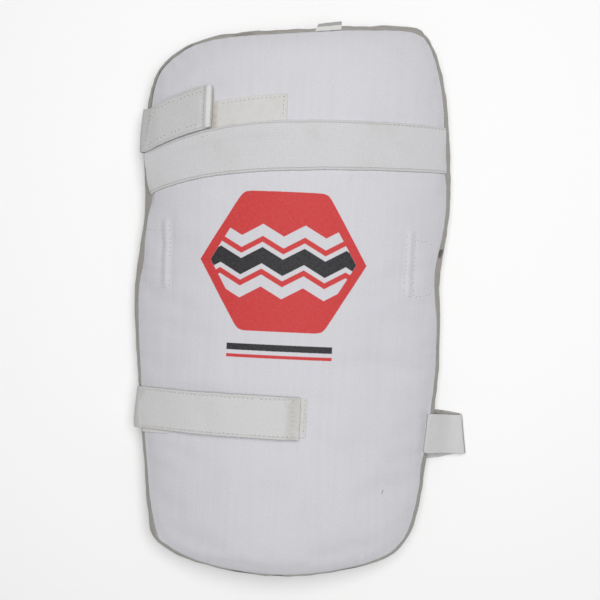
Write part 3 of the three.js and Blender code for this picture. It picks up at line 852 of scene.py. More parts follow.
class ClothRelief:
    """How far the front has swelled or creased, looked up at any of its points."""

    def __init__(self):
        self.tree = None
        pillow = soft_copy("front_pad", "swelling_cloth", 0, 0)
        apply_modifier(pillow, "REMESH", mode="VOXEL", voxel_size=CLOTH_VOXEL)
        before, normals = points_of(pillow), normals_of(pillow)
        self.hold(pillow, before)
        after = self.simulate(pillow)
        moved = ((after - before) * normals).sum(1)
        self.lifts = np.clip(moved, -CLOTH_CAP, CLOTH_CAP) * CLOTH_SHARE
        self.tree = KDTree(len(before))
        for k, point in enumerate(before):
            self.tree.insert(point, k)
        self.tree.balance()
        bpy.data.objects.remove(pillow)

    def hold(self, pillow, points):
        """The back, the seam and what lies under a strip stay where they are."""
        held = pillow.vertex_groups.new(name="held")
        heights = unbend(points)[:, 2]
        for k, point in enumerate(points):
            free = heights[k] > 0.6 * PAD_HALF and seam.near(point)[0] > CLOTH_VOXEL
            held.add([k], 1 - room_over(point) if free else 1.0, "REPLACE")

    def simulate(self, pillow):
        alone(pillow)
        cloth = pillow.modifiers.new("Cloth", "CLOTH")
        cloth.point_cache.frame_end = CLOTH_FRAMES
        settings = cloth.settings
        settings.vertex_group_mass = "held"
        settings.use_pressure = True
        settings.uniform_pressure_force = CLOTH_PRESSURE
        settings.shrink_min = -CLOTH_GROWTH
        settings.bending_stiffness = 1.5
        settings.effector_weights.gravity = 0
        for step in range(1, CLOTH_FRAMES + 1):
            bpy.context.scene.frame_set(step)
        bpy.ops.object.modifier_apply(modifier=cloth.name)
        bpy.context.scene.frame_set(1)
        return points_of(pillow)

    def at(self, point):
        if self.tree is None:
            return 0.0
        near = self.tree.find_n(point, CLOTH_NEAREST)
        weights = [math.exp(-((distance / CLOTH_BLUR) ** 2)) for _, _, distance in near]
        return sum(self.lifts[k] * w for (_, k, _), w in zip(near, weights)) / (sum(weights) + 1e-9)


cloth_relief = ClothRelief()

# Front panel

# Raised tucks on the panel, and the rows of stitches at each side and across their ends: q and y in mm
TUCKS = [
    {"top": (80.9, 50.5), "foot": (80.9, 2.5), "inner": -2.9, "outer": 4.2},
    {"top": (-85.7, 50.5), "foot": (-83.6, 2.0), "inner": 3.0, "outer": -3.6},
]
TUCK_END_ROWS = [
    [(84.5, 43.2), (96, 42), (104, 38.6)],
    [(79.5, 3.6), (90, 4.2), (101.5, 6.6)],
    [(-104, 43), (-89.5, 42)],
    [(-103.3, 5.6), (-85.5, 2.2)],
]
TUCK_HALF_WIDTH = 2.1 * MM
TUCK_RISE = 0.9 * MM
TUCK_SINK = 0.3 * MM
TUCK_MARGIN = 8 * MM
# Soft dents and creases on the panel, in mm: place, reach each way and depth
DENTS = [
    {"q": 52, "y": 143, "across": 14, "along": 9, "depth": 0.7},
    {"q": 30, "y": 150, "across": 10, "along": 7, "depth": 0.4},
    {"q": -60, "y": -150, "across": 24, "along": 16, "depth": 0.6},
    {"q": 74, "y": -60, "across": 18, "along": 26, "depth": 0.7},
    {"q": -74, "y": -40, "across": 16, "along": 30, "depth": 0.6},
    {"q": 106, "y": -90, "across": 6.5, "along": 15, "depth": 2.2},
    {"q": -2, "y": -60, "across": 40, "along": 20, "depth": 0.5},
    {"q": -50, "y": 158, "across": 24, "along": 12, "depth": 0.5},
]
WAVE_HEIGHT = 0.45 * MM
WAVE_LENGTH = 42 * MM
PUCKER_HEIGHT = 0.55 * MM
PUCKER_SPACING = 11 * MM
PUCKER_REACH = 9 * MM


def tuck_lift(q, y, tuck):
    """The tuck's raised fold, with a furrow at each side."""
    q0, y0 = tuck["foot"][0] * MM, tuck["foot"][1] * MM
    q1, y1 = tuck["top"][0] * MM, tuck["top"][1] * MM
    share = (y - y0) / (y1 - y0)
    if not -0.04 < share < 1.04:
        return 0.0
    off = abs(q - (q0 + (q1 - q0) * share))
    fade = smooth_step(share, -0.04, 0.1) * smooth_step(1 - share, -0.04, 0.1)
    fold = TUCK_RISE * math.exp(-((off / TUCK_HALF_WIDTH) ** 2))
    furrow = TUCK_SINK * math.exp(-(((off - 2.1 * TUCK_HALF_WIDTH) / TUCK_HALF_WIDTH) ** 2))
    return (fold - furrow) * fade


def dent_depth(q, y):
    depth = 0.0
    for dent in DENTS:
        reach = ((q / MM - dent["q"]) / dent["across"]) ** 2 + ((y / MM - dent["y"]) / dent["along"]) ** 2
        depth += dent["depth"] * MM * math.exp(-reach)
    return depth


def panel_lift(q, y):
    """How far the panel's tucks and waves stand off its plain bent form."""
    lift = sum(tuck_lift(q, y, tuck) for tuck in TUCKS)
    wave = noise.noise(Vector((q / WAVE_LENGTH, y / WAVE_LENGTH, 3.1)))
    wave += 0.4 * noise.noise(Vector((q / WAVE_LENGTH * 2.7, y / WAVE_LENGTH * 2.7, 8.2)))
    return lift + WAVE_HEIGHT * wave


def in_tuck(face):
    q, y, h = unbend(np.array([face.center]))[0]
    for tuck in TUCKS:
        low, high = tuck["foot"][1] * MM - TUCK_MARGIN, tuck["top"][1] * MM + TUCK_MARGIN
        if abs(q - tuck["foot"][0] * MM) < TUCK_MARGIN and low < y < high:
            return h > 0.8 * PAD_HALF
    return False


def on_front(face):
    return unbend(np.array([face.center]))[0][2] > 0.3 * PAD_HALF


def make_panel():
    """The front, with its edge rounded, its tucks, dents and puckers, and the swelling of the cloth."""
    panel = soft_copy("front_pad", "front_panel", RIM_BEVEL)
    places = unbend(points_of(panel))
    flat = abs(places[:, 2] - PAD_HALF) < 0.5 * MM
    places[flat, 2] = PAD_HALF
    set_points(panel, [bend(*place) for place in places])
    refine(panel, on_front)
    refine(panel, in_tuck)
    points, normals = points_of(panel), normals_of(panel)
    places = unbend(points)
    for k, (q, y, h) in enumerate(places):
        if h < 0:
            continue
        distance, length = seam.near(points[k])
        if distance > RIM_BEVEL:
            sink = max(0.0, h - seam.roll_height(points[k])) * smooth_step(distance, RIM_BEVEL, 3 * MM)
            points[k] = bend(q, y, h - sink)
        hold = min(1.0, distance / PUCKER_REACH)
        fade = math.exp(-distance / PUCKER_REACH) * min(1.0, distance / (2 * MM))
        lift = (panel_lift(q, y) + cloth_relief.at(points[k])) * hold
        lift -= dent_depth(q, y) * smooth_step(distance, 0, 3 * MM)
        lift += PUCKER_HEIGHT * fade * pucker(length, PUCKER_SPACING, 1.7)
        if lift > 0:
            lift *= room_over(points[k])
        points[k] += normals[k] * lift * min(1.0, h / (0.8 * PAD_HALF))
    write_uv(panel, [seam.near(p) for p in points], "seam")
    set_points(panel, points)
    shift_edges(panel)
    panel.data.shade_smooth()
    write_uv(panel, unbend(points_of(panel))[:, :2])
    finish_piece(panel, PANEL_CLOTH, "pad_cloth", "front_pad")
    return panel


# Side strip and back

COVER_PUCKER = 0.7 * MM
COVER_SPACING = 19 * MM
COVER_REACH = 9 * MM
COVER_WAVE = 0.25 * MM
COVER_WAVE_LENGTH = 30 * MM
# Lumps of gathered cloth along the edge, in mm: place, half length, and how far they stand out
GATHERS = [
    {"x": -62, "y": 175, "half": 9, "out": 0.8},
    {"x": -45, "y": 176, "half": 8, "out": 1.6},
    {"x": -31, "y": 177, "half": 10, "out": 1.1},
    {"x": -14, "y": 179, "half": 7, "out": 1.3},
    {"x": 21, "y": 183, "half": 6, "out": 1.5},
    {"x": 47, "y": 185, "half": 12, "out": 0.6},
    {"x": 69, "y": 187, "half": 6, "out": 2.6},
    {"x": -98, "y": -167, "half": 7, "out": 3.2},
]
# Fine folds in the side strip at the waist end
FOLD_START = 0.12
FOLD_RISE = 0.35 * MM
FOLD_SPACING = 4.3 * MM


def gather_at(point, length):
    """The gathered lumps of the edge, and the fine folds at the waist end."""
    lump = 0.0
    for gather in GATHERS:
        gap = math.hypot(point[0] / MM - gather["x"], point[1] / MM - gather["y"]) / gather["half"]
        lump += gather["out"] * MM * math.exp(-(gap**2))
    if point[1] > FOLD_START:
        lump += FOLD_RISE * math.sin(math.tau * length / FOLD_SPACING + 2 * math.sin(length / (7 * MM)))
    return lump


def make_cover():
    """The side strip and back, gathered along its seam."""
    cover = soft_copy("back_cover", "side_and_back", WEBBING_BEVEL)
    points, normals = points_of(cover), normals_of(cover)
    inner_gap = skin_of(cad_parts["front_pad"])
    for k, point in enumerate(points):
        distance, length = seam.near(point)
        inner = inner_gap.find_nearest(Vector(point))[3] < 1 * MM
        fade = math.exp(-distance / COVER_REACH)
        broad = noise.noise(Vector(point) / COVER_WAVE_LENGTH) * COVER_WAVE
        lift = COVER_PUCKER * pucker(length, COVER_SPACING, 5.1) + gather_at(point, length)
        outward = normals[k].copy()
        if distance < COVER_REACH:
            outward[2] = 0
        share = 0.25 if inner else 1.0
        points[k] += outward * (lift * fade + broad) * share
    write_uv(cover, [seam.near(p) for p in points_of(cover)], "seam")
    set_points(cover, points)
    shift_edges(cover)
    cover.data.shade_smooth()
    finish_piece(cover, COVER_CLOTH, "cover_cloth", "back_cover")
    return cover


# Webbing, tapes and label

def strip_places(piece):
    """Places along and across a strip, followed round the left edge and back under the guard."""
    points = points_of(piece)
    places = unbend(points)
    turn_q = places[:, 0].min() + PAD_HALF
    turn_x = bend(turn_q, 0, 0).x
    along = places[:, 0].copy()
    outside = places[:, 0] < turn_q
    angle = np.arctan2(places[:, 2], turn_q - places[:, 0])
    along[outside] = turn_q - PAD_HALF * (math.pi / 2 - angle[outside])
    under = (places[:, 2] < 0) & ~outside
    along[under] = turn_q - PAD_HALF * math.pi - (points[under, 0] - turn_x)
    return np.stack([along, points[:, 1]], 1)


class Edges:
    """The two long edges of a strip's front stretch, as y over q."""

    def __init__(self, node, stop=1.0):
        places = unbend(points_of(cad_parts[node]))
        places = places[places[:, 0] < stop]
        on_top = places[:, 2] > PAD_HALF
        front = places[on_top] if on_top.any() else places
        self.q = np.array(sorted(set(np.round(front[:, 0], 4))))
        rows = [front[abs(front[:, 0] - q) < 0.1 * MM] for q in self.q]
        self.low = np.array([row[:, 1].min() for row in rows])
        self.high = np.array([row[:, 1].max() for row in rows])
        wide = self.high - self.low > 0.8 * np.median(self.high - self.low)
        self.q, self.low, self.high = self.q[wide], self.low[wide], self.high[wide]

    def over(self, q):
        """The lower and the upper edge at one or more places along."""
        return np.interp(q, self.q, self.low), np.interp(q, self.q, self.high)

    def at(self, q, share):
        """A place across the strip, from 0 at its lower edge to 1 at its upper one."""
        low, high = self.over(q)
        return float(low + (high - low) * share)

    def inset(self, q, side, distance):
        """A place a distance in from the upper edge, side 1, or the lower one, side -1."""
        return self.at(q, 1.0 if side > 0 else 0.0) - side * distance


# Uneven edges and faces of the strips
EDGE_SWAY = 0.35 * MM
EDGE_SWAY_LENGTH = 16 * MM
FACE_SWAY = 0.18 * MM


def sway(piece, places, seed):
    """Gives a strip's edges and faces the slight waves of woven tape."""
    points, normals = points_of(piece), normals_of(piece)
    middle = points[:, 1].mean()
    for k, (along, across) in enumerate(places):
        side = 1 if across > middle else -1
        drift = noise.noise(Vector((along / EDGE_SWAY_LENGTH, side * 3.7, seed)))
        drift += 0.5 * noise.noise(Vector((along / EDGE_SWAY_LENGTH * 4, side * 5.1, seed)))
        lift = noise.noise(Vector((along / (11 * MM), across / (17 * MM), seed + 9)))
        points[k][1] += EDGE_SWAY * drift
        points[k] += normals[k] * FACE_SWAY * lift * (normals[k][2] > 0)
    set_points(piece, points)


# Height of a strap's lower face where it lies on its patch, and over the hook tape
LOW_FACE = PAD_HALF + 1.8 * MM
HIGH_FACE = PAD_HALF + 3.3 * MM


def slow_rise(piece, start, stop):
    """Lifts a strap slowly over its hook tape, in place of the step."""
    points, normals = points_of(piece), normals_of(piece)
    places = unbend(points)
    facing = np.array([Vector(normals[k]).dot(outward_at(q)) for k, q in enumerate(places[:, 0])])
    under = (facing < -0.9) & (places[:, 2] > PAD_HALF) & (places[:, 0] < stop + 20 * MM)
    order = np.argsort(places[under, 0])
    face_q, face_h = places[under, 0][order], places[under, 2][order]
    for k, (q, y, h) in enumerate(places):
        if start < q < stop + 12 * MM and h > PAD_HALF + 1 * MM:
            level = LOW_FACE + (HIGH_FACE - LOW_FACE) * smooth_step(q, start, stop)
            points[k] = bend(q, y, h - np.interp(q, face_q, face_h) + level)
    set_points(piece, points)


def make_strip(node, name, material, slot, bevel=WEBBING_BEVEL, shape=None, rise=None):
    """A strip's dressed copy; shape moves its points, and rise is where it climbs on to its hook tape."""
    piece = soft_copy(node, name, bevel)
    if rise:
        slow_rise(piece, *rise)
    places = strip_places(piece)
    edges = Edges(node, stop=1.0 if node == "front_band" else TAB_START / 2)
    low, high = edges.over(places[:, 0])
    if node == "thigh_strap":
        on_tab = unbend(points_of(piece))[:, 0] > TAB_START - 4 * MM
        low[on_tab] = places[on_tab, 1] - TAB_INWARD
        high[on_tab] = places[on_tab, 1] + TAB_INWARD
    write_uv(piece, np.stack([places[:, 1] - low, high - places[:, 1]], 1), "edges")
    sway(piece, places, len(name))
    if shape:
        set_points(piece, shape(points_of(piece), edges))
    write_uv(piece, places)
    piece.data.shade_smooth()
    finish_piece(piece, material, slot, node)
    return piece


# The rolled hem at the end of the waist strap
HEM_MIDDLE = 2.4 * MM
HEM_HALF = 2.6 * MM
HEM_ROLL = 1.3 * MM
HEM_CORNER = 3 * MM
HEM_CORNER_REACH = 9 * MM
HEM_DIP = 0.5 * MM
HEM_DIP_PLACE = 6.2 * MM
HEM_DIP_HALF = 1.1 * MM
EDGE_DROOP = 0.8 * MM
DROOP_REACH = 2.5 * MM


def roll_hem(points, edges):
    """Lets the strap's edges fall, and rounds its folded end into a roll with one corner drawn in."""
    places = unbend(points)
    low, high = edges.over(places[:, 0])
    for k, (q, y, h) in enumerate(places):
        if h > PAD_HALF + 1 * MM:
            inward = max(0.0, min(y - low[k], high[k] - y))
            droop = EDGE_DROOP * math.exp(-inward / DROOP_REACH)
            places[k, 2] -= droop * smooth_step(q, edges.q[0], edges.q[0] + 6 * MM)
            points[k] = bend(*places[k])
    end = edges.q[-1]
    base = PAD_HALF + 2 * MM
    for k, (q, y, h) in enumerate(places):
        if h < base or q < end - 3 * HEM_HALF:
            continue
        off = (q - (end - HEM_MIDDLE)) / HEM_HALF
        roll = HEM_ROLL * math.sqrt(max(0.0, 1 - off * off))
        dip = HEM_DIP * math.exp(-(((q - (end - HEM_DIP_PLACE)) / HEM_DIP_HALF) ** 2))
        near_corner = smooth_step(y, edges.high[-1] - HEM_CORNER_REACH, edges.high[-1])
        drawn = HEM_CORNER * 0.55 * near_corner * smooth_step(q, end - 7 * MM, end)
        points[k] = bend(q, y - drawn, h + roll - dip)
    return points


BAND_PRESS = 0.8 * MM
BAND_PRESS_REACH = 1.6 * MM


def press_edges(points, edges):
    """Thins the band towards its sewn edges."""
    places = unbend(points)
    low, high = edges.over(places[:, 0])
    for k, (q, y, h) in enumerate(places):
        inward = max(0.0, min(y - low[k], high[k] - y))
        if h > PAD_HALF + 0.9 * MM:
            points[k] = bend(q, y, h - BAND_PRESS * math.exp(-inward / BAND_PRESS_REACH))
    return points


# Where the lower patch's edge shows below the strap
PATCH_PEEK = 1.7 * MM


def show_patch_edge(points, edges):
    places = unbend(points)
    middle = (edges.low.mean() + edges.high.mean()) / 2
    for k, (q, y, h) in enumerate(places):
        if y < middle:
            points[k][1] -= PATCH_PEEK * (1 - smooth_step(q, -80 * MM, -70 * MM))
    return points


HOOK_PULL = 1.6 * MM
HOOK_PULL_REACH = 9 * MM


def pull_back(points, edges):
    """Draws the hook tape's end in under the strap's hem."""
    places = unbend(points)
    end = places[:, 0].max()
    for k, (q, y, h) in enumerate(places):
        points[k] = bend(q - HOOK_PULL * smooth_step(q, end - HOOK_PULL_REACH, end), y, h)
    return points


# The tab where the thigh strap is sewn in at the right: the height between its leaves, and how they lie
TAB_START = 96 * MM
TAB_BETWEEN = 3.2 * MM
TAB_CORNER = 2 * MM
TAB_INWARD = 10 * MM
TAB_SAG = 1.0 * MM
TAB_UNDER_SHIFT = 1.3 * MM
TAB_REACH_BACK = 2.2 * MM
TAB_SLANT = 1.1 * MM


def shape_thigh_strap(points, edges):
    """Rounds the corners of the tab's upper leaf and lets its lower leaf show beyond it."""
    places = unbend(points)
    on_tab = places[:, 0] > TAB_START
    leaf = on_tab & (points[:, 2] > TAB_BETWEEN)
    start = places[leaf, 0].min()
    top, foot = places[leaf, 1].max(), places[leaf, 1].min()
    fold = points[:, 0].max()
    sewn = points[leaf, 0].min()
    for k, (q, y, h) in enumerate(places):
        if not on_tab[k]:
            continue
        rise = min(1.0, max(0.0, (y - foot) / (top - foot)))
        if leaf[k]:
            across = min(1.0, max(0.0, (points[k][0] - sewn) / (fold - sewn)))
            inset = max(0.0, 1 - (q - start) / TAB_CORNER)
            squeeze = TAB_CORNER * (1 - math.sqrt(max(0.0, 1 - inset * inset)))
            side = rise * 2 - 1
            back = (1 - smooth_step(q, start, start + 12 * MM)) * TAB_REACH_BACK * (0.4 + 0.6 * rise)
            sag = TAB_SAG * (1 - across**4) * (0.75 + 0.25 * math.sin(math.pi * across))
            points[k] = bend(q - back, y, h)
            points[k][0] += TAB_SLANT * (1 - rise) * across**2
            points[k][1] -= squeeze * side * abs(side) ** 3 + sag * smooth_step(rise, 0.2, 1.0)
            points[k][2] += 0.4 * MM * noise.noise(Vector(points[k]) / (13 * MM)) * (1 - across)
        elif points[k][2] < TAB_BETWEEN:
            inward = smooth_step(fold - points[k][0], 1 * MM, 14 * MM)
            points[k][1] += TAB_UNDER_SHIFT * inward * (rise - 0.7 * (1 - rise))
    return tuck_wrap(points, places, edges)


# The lower strap's turn round the left edge leans in at its upper side
WRAP_LEAN = 3.1 * MM


def tuck_wrap(points, places, edges):
    low, high = edges.low[0], edges.high[0]
    turn = edges.q[0] + 8 * MM
    for k, (q, y, h) in enumerate(places):
        share = min(1.0, max(0.0, (y - low) / (high - low)))
        points[k][0] += WRAP_LEAN * share * (1 - smooth_step(q, turn - 14 * MM, turn))
    return points


def dress_tab(strap):
    """Gives the tab its coarse twill, and paints its lower leaf and the turn of its fold in darker webbing
    as painted shade.
    """
    strap.data.materials.append(TAB_SHADE_WEBBING)
    strap.data.materials.append(TAB_WEBBING)
    points = points_of(strap)
    tab = points[unbend(points)[:, 0] > TAB_START]
    fold, middle = tab[:, 0].max(), (tab[:, 1].max() + tab[:, 1].min()) / 2
    for face in strap.data.polygons:
        q = unbend(np.array([face.center]))[0][0]
        if q > TAB_START:
            inward = face.center.x < fold - 2 * MM
            lower = face.center.z < TAB_BETWEEN and inward and face.center.y > middle
            turned = face.normal.x > 0.6 and face.center.x > fold - 4 * MM
            face.material_index = 1 if lower or turned else 2


# The tag's folded end leans, and its lower layer shows below the fold
TAG_LEAN = 2.6 * MM


def lean_tag(points, edges):
    low, high = points[:, 1].min(), points[:, 1].max()
    left, right = points[:, 0].min(), points[:, 0].max()
    for k, (x, y, z) in enumerate(points):
        rise = (y - low) / (high - low)
        points[k][0] += TAG_LEAN * rise * (1 - (x - left) / (right - left)) + 0.5 * MM * rise
        points[k][1] += 0.5 * MM * (x - left) / (right - left)
    return points


# Stitches

STITCH_LENGTH = 1.9 * MM
STITCH_GAP = 1.0 * MM
STITCH_WIDTH = 0.6 * MM
HOLE_LENGTH = 1.2 * MM
HOLE_WIDTH = 0.65 * MM
FIBRE_LENGTH = 1.7 * MM
FIBRE_WIDTH = 0.4 * MM
STITCH_SIDES = 6
STITCH_RINGS = 5
LINE_STEPS = 12
shaky = random.Random(11)


def one_bead(name, length, width, depth):
    """A small rounded bead along X, modelled once and copied along every row."""
    bpy.ops.object.select_all(action="DESELECT")
    bpy.ops.mesh.primitive_uv_sphere_add(segments=STITCH_SIDES, ring_count=STITCH_RINGS, radius=0.5)
    bead = bpy.context.object
    bead.name = name
    bpy.ops.object.mode_set(mode="EDIT")
    bpy.ops.mesh.select_all(action="SELECT")
    bpy.ops.transform.rotate(value=math.pi / 2, orient_axis="Y", center_override=(0, 0, 0))
    bpy.ops.transform.resize(value=(length, width, depth))
    bpy.ops.object.mode_set(mode="OBJECT")
    return bead


stitch_bead = one_bead("stitch bead", STITCH_LENGTH, STITCH_WIDTH, STITCH_WIDTH * 0.8)
hole_bead = one_bead("hole bead", HOLE_LENGTH, HOLE_WIDTH, HOLE_WIDTH * 0.5)
fibre_bead = one_bead("fibre bead", FIBRE_LENGTH, FIBRE_WIDTH, FIBRE_WIDTH)


def along_path(path, spacing):
    """Places and headings at even spacing along a line of pattern places."""
    steps = [(Vector(a), Vector(b)) for a, b in zip(path, path[1:])]
    total = sum((b - a).length for a, b in steps)
    count = max(1, round(total / spacing))
    wanted = [(k + 0.5) * total / count for k in range(count)]
    made, walked = [], 0.0
    for a, b in steps:
        length = (b - a).length
        while wanted and wanted[0] <= walked + length:
            made.append((a.lerp(b, (wanted.pop(0) - walked) / length), (b - a).normalized()))
        walked += length
    return made


def bead_at(bead, skin, place, heading, sink, tilt=0.0):
    """A copy of a bead lying on a skin, as vertices and faces."""
    middle, normal = on_skin(skin, place.x, place.y)
    ahead, _ = on_skin(skin, place.x + heading.x * MM, place.y + heading.y * MM)
    if middle is None or ahead is None:
        return [], []
    along = (ahead - middle).normalized()
    side = normal.cross(along).normalized()
    up = along.cross(side)
    turn = Matrix((along, side, up)).transposed() @ Matrix.Rotation(tilt, 3, "Z")
    corners = [middle - normal * sink + turn @ v.co for v in bead.data.vertices]
    return corners, [tuple(face.vertices) for face in bead.data.polygons]


def join_beads(name, skin, parts, slot, materials, sink=0.08 * MM):
    """Lays beads on a skin and joins them into one piece: bead, place, heading, tilt and material."""
    corners, faces, shades = [], [], []
    for bead, place, heading, tilt, shade in parts:
        made, made_faces = bead_at(bead, skin, place, heading, sink, tilt)
        faces += [tuple(k + len(corners) for k in face) for face in made_faces]
        shades += [shade] * len(made_faces)
        corners += made
    mesh = bpy.data.meshes.new(name)
    mesh.from_pydata(corners, [], faces)
    piece = bpy.data.objects.new(name, mesh)
    bpy.context.scene.collection.objects.link(piece)
    finish_piece(piece, materials[0], slot)
    for material in materials[1:]:
        mesh.materials.append(material)
    mesh.polygons.foreach_set("material_index", shades)
    piece.data.shade_smooth()
    return piece


def stitch_rows(name, skin, rows, slot, holes, shown=1.0):
    """Rows of stitches with dark beads of painted shade at the needle holes between them, some of the holes
    too fine to be seen.
    """
    parts = []
    pitch = STITCH_LENGTH + STITCH_GAP
    for row in rows:
        for place, heading in along_path(row, pitch):
            parts.append((stitch_bead, place, heading, shaky.uniform(-0.12, 0.12), 0))
            if shaky.random() < shown:
                aside = Vector((-heading.y, heading.x)) * shaky.uniform(-0.2, 0.2) * MM
                between = place + heading * pitch / 2 + aside
                parts.append((hole_bead, between, heading, shaky.uniform(-0.3, 0.3), 1))
    return join_beads(name, skin, parts, slot, [PALE_THREAD, holes])


def line(edges, side, inset, start, end):
    """A row that follows one edge of a strip at an inset."""
    places = [start + (end - start) * k / LINE_STEPS for k in range(LINE_STEPS + 1)]
    return [(q, edges.inset(q, side, inset)) for q in places]


def column(edges, q, low, high):
    """A row across a strip, between two shares of its width."""
    return [(q, edges.at(q, low)), (q, edges.at(q, high))]


# Where each strap climbs from its patch on to its hook tape
WAIST_RISE = (-103.5 * MM, -91 * MM)
THIGH_RISE = (-97 * MM, -50.5 * MM)
PATCH_BEVEL = 0.35 * MM
HOOK_BEVEL = 0.3 * MM
LABEL_BEVEL = 0.2 * MM

panel = make_panel()
make_cover()
band = make_strip("front_band", "front_band_webbing", BAND_WEBBING, "band_webbing", shape=press_edges)
shift_edges(band)
waist_patch = make_strip("waist_patch", "waist_loop_patch", LOOP_TAPE, "loop_tape", PATCH_BEVEL)
waist_strap = make_strip(
    "waist_strap", "waist_webbing", WAIST_WEBBING, "strap_webbing", shape=roll_hem, rise=WAIST_RISE)
make_strip("waist_hook_tape", "waist_hooks", HOOK_TAPE, "hook_tape", HOOK_BEVEL, pull_back)
thigh_patch = make_strip(
    "thigh_patch", "thigh_loop_patch", LOOP_TAPE, "loop_tape", PATCH_BEVEL, show_patch_edge)
thigh_strap = make_strip(
    "thigh_strap", "thigh_webbing", THIGH_WEBBING, "strap_webbing", shape=shape_thigh_strap, rise=THIGH_RISE)
dress_tab(thigh_strap)
make_strip("thigh_hook_tape", "thigh_hooks", HOOK_TAPE, "hook_tape", HOOK_BEVEL)
label = make_strip("size_label", "blank_label", LABEL_CLOTH, "label_cloth", LABEL_BEVEL, lean_tag)
shift_edges(label)

band_edges = Edges("front_band")
waist_edges = Edges("waist_strap")
waist_patch_edges = Edges("waist_patch")
thigh_edges = Edges("thigh_strap", stop=TAB_START / 2)
thigh_patch_edges = Edges("thigh_patch")
waist_end = waist_edges.q[-1]
waist_patch_end = waist_patch_edges.q[-1]
thigh_end = thigh_edges.q[-1]
thigh_patch_end = thigh_patch_edges.q[-1]

# How far in from an edge each row of stitches runs, and where the band's short stretches of stitching lie
BAND_ROW = 1.8 * MM
BAND_ROW_START = 62 * MM
BAND_SHORT_START = -63 * MM
BAND_SHORT_END = -57 * MM
WAIST_ROW = 4.3 * MM
WAIST_END_ROW = 5.2 * MM
WAIST_PATCH_ROW = 2.4 * MM
THIGH_ROW = 2.1 * MM
THIGH_ROW_START = -88 * MM
THIGH_END_ROW = 4.5 * MM
THIGH_PATCH_ROW = 1.4 * MM


def tuck_rows():
    rows = []
    for tuck in TUCKS:
        (q1, y1), (q0, y0) = tuck["top"], tuck["foot"]
        for off in (tuck["inner"], tuck["outer"]):
            rows.append([((q0 + off) * MM, (y0 - 0.5) * MM), ((q1 + off) * MM, (y1 - 5.5) * MM)])
    return rows + [[(q * MM, y * MM) for q, y in row] for row in TUCK_END_ROWS]


stitch_rows("panel_stitches", skin_of(panel), tuck_rows(), "pad_cloth", FAINT_HOLE_SHADE, 0.7)
speck = Vector((69.4, -130.4)) * MM
join_beads(
    "loose_thread",
    skin_of(panel),
    [
        (fibre_bead, speck, Vector((0.4, 0.92)), 0.0, 0),
        (fibre_bead, speck + Vector((-0.5, -1.4)) * MM, Vector((0.1, 0.99)), 0.0, 0),
    ],
    "pad_cloth",
    [DARK_THREAD],
    sink=0.0,
)
stitch_rows(
    "band_stitches",
    skin_of(band),
    [
        line(band_edges, 1, BAND_ROW, BAND_ROW_START, band_edges.q[-1]),
        [(BAND_SHORT_START, band_edges.inset(BAND_SHORT_START, 1, 5 * MM)),
         (BAND_SHORT_END + 0.5 * MM, band_edges.inset(BAND_SHORT_END, 1, 4.2 * MM))],
    ],
    "band_webbing",
    FAINT_HOLE_SHADE,
)
stitch_rows(
    "waist_stitches",
    skin_of(waist_strap),
    [
        line(waist_edges, 1, WAIST_ROW, waist_edges.q[0], waist_end - 5 * MM),
        line(waist_edges, -1, WAIST_ROW, waist_edges.q[0], waist_end - 5 * MM),
        column(waist_edges, waist_end - WAIST_END_ROW, 0.12, 0.88),
    ],
    "strap_webbing",
    DARK_HOLE_SHADE,
    0.85,
)
patch_row_end = waist_patch_end - WAIST_PATCH_ROW
stitch_rows(
    "waist_patch_stitches",
    skin_of(waist_patch),
    [
        line(waist_patch_edges, 1, WAIST_PATCH_ROW, waist_end + 4 * MM, patch_row_end),
        [(patch_row_end, waist_patch_edges.at(waist_patch_end, share)) for share in (0.34, 0.9)],
    ],
    "loop_tape",
    FAINT_HOLE_SHADE,
)
thigh_row_end = thigh_end - THIGH_END_ROW
stitch_rows(
    "thigh_stitches",
    skin_of(thigh_strap),
    [
        line(thigh_edges, 1, THIGH_ROW, THIGH_ROW_START, thigh_row_end),
        line(thigh_edges, -1, THIGH_ROW, THIGH_ROW_START, thigh_row_end),
        column(thigh_edges, thigh_row_end, 0.13, 0.87),
    ],
    "strap_webbing",
    FAINT_HOLE_SHADE,
    0.8,
)
stitch_rows(
    "thigh_patch_stitches",
    skin_of(thigh_patch),
    [column(thigh_patch_edges, thigh_patch_end - THIGH_PATCH_ROW, 0.06, 0.94)],
    "loop_tape",
    FAINT_HOLE_SHADE,
)

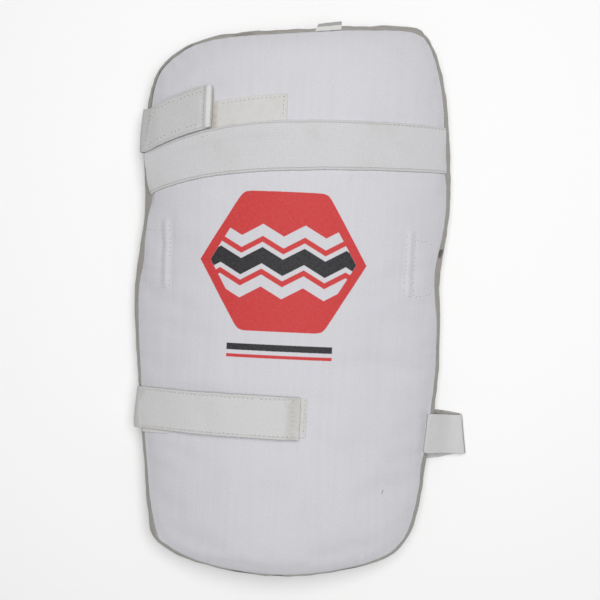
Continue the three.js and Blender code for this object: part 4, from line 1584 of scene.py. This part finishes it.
# Short ends that fray out of the lower patch at its cut end
FRAYED_ENDS = 34
frayed = []
for _ in range(FRAYED_ENDS):
    fray_q = thigh_patch_end + shaky.uniform(-1.6, 0.1) * MM
    fray_y = thigh_patch_edges.at(thigh_patch_end, shaky.uniform(0.03, 0.97))
    frayed.append((fibre_bead, Vector((fray_q, fray_y)), Vector((1, 0)), shaky.uniform(-0.9, 0.9), 0))
join_beads("frayed_ends", skin_of(thigh_patch), frayed, "loop_tape", [PATCH_FIBRES], sink=0.0)
for bead in (stitch_bead, hole_bead, fibre_bead):
    bpy.data.objects.remove(bead)

# Stage, light and camera

FLOOR_SIZE = 6.0
FLOOR_WHITE = (0.93, 0.93, 0.93, 1.0)
WORLD_WHITE = (1.0, 1.0, 1.0, 1.0)
WORLD_STRENGTH = 0.22
LIGHT_PLACE = Vector((0.08, 0.15, 1.32))
LIGHT_SIZE = 1.1
LIGHT_POWER = 16.9


def make_floor():
    bpy.ops.object.select_all(action="DESELECT")
    bpy.ops.mesh.primitive_plane_add(size=FLOOR_SIZE)
    floor = bpy.context.object
    floor.name = "floor"
    material, _, shader = new_material("studio floor", 0.9)
    shader.inputs["Base Color"].default_value = FLOOR_WHITE
    floor.data.materials.append(material)


def make_light():
    data = bpy.data.lights.new("softbox", "AREA")
    data.shape = "DISK"
    data.size = LIGHT_SIZE
    data.energy = LIGHT_POWER
    light = bpy.data.objects.new("softbox", data)
    light.location = LIGHT_PLACE
    light.rotation_euler = (-LIGHT_PLACE).to_track_quat("-Z", "Y").to_euler()
    bpy.context.scene.collection.objects.link(light)


def make_world():
    world = bpy.data.worlds.new("studio")
    world.use_nodes = True
    background = world.node_tree.nodes["Background"].inputs
    background["Color"].default_value = WORLD_WHITE
    background["Strength"].default_value = WORLD_STRENGTH
    bpy.context.scene.world = world


def make_camera():
    low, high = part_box("front_pad")
    middle = (low + high) / 2
    data = bpy.data.cameras.new("camera")
    data.sensor_width = SENSOR_WIDTH
    data.lens = SENSOR_WIDTH * FOCAL_PIXELS / PICTURE_PIXELS
    camera = bpy.data.objects.new("camera", data)
    camera.location = (middle.x + CAMERA_ASIDE, middle.y + CAMERA_ALONG, CAMERA_HEIGHT)
    camera.rotation_euler = (0, 0, CAMERA_TURN)
    bpy.context.scene.collection.objects.link(camera)
    bpy.context.scene.camera = camera


make_floor()
make_world()
make_light()
make_camera()
bpy.context.scene.view_settings.view_transform = "Standard"
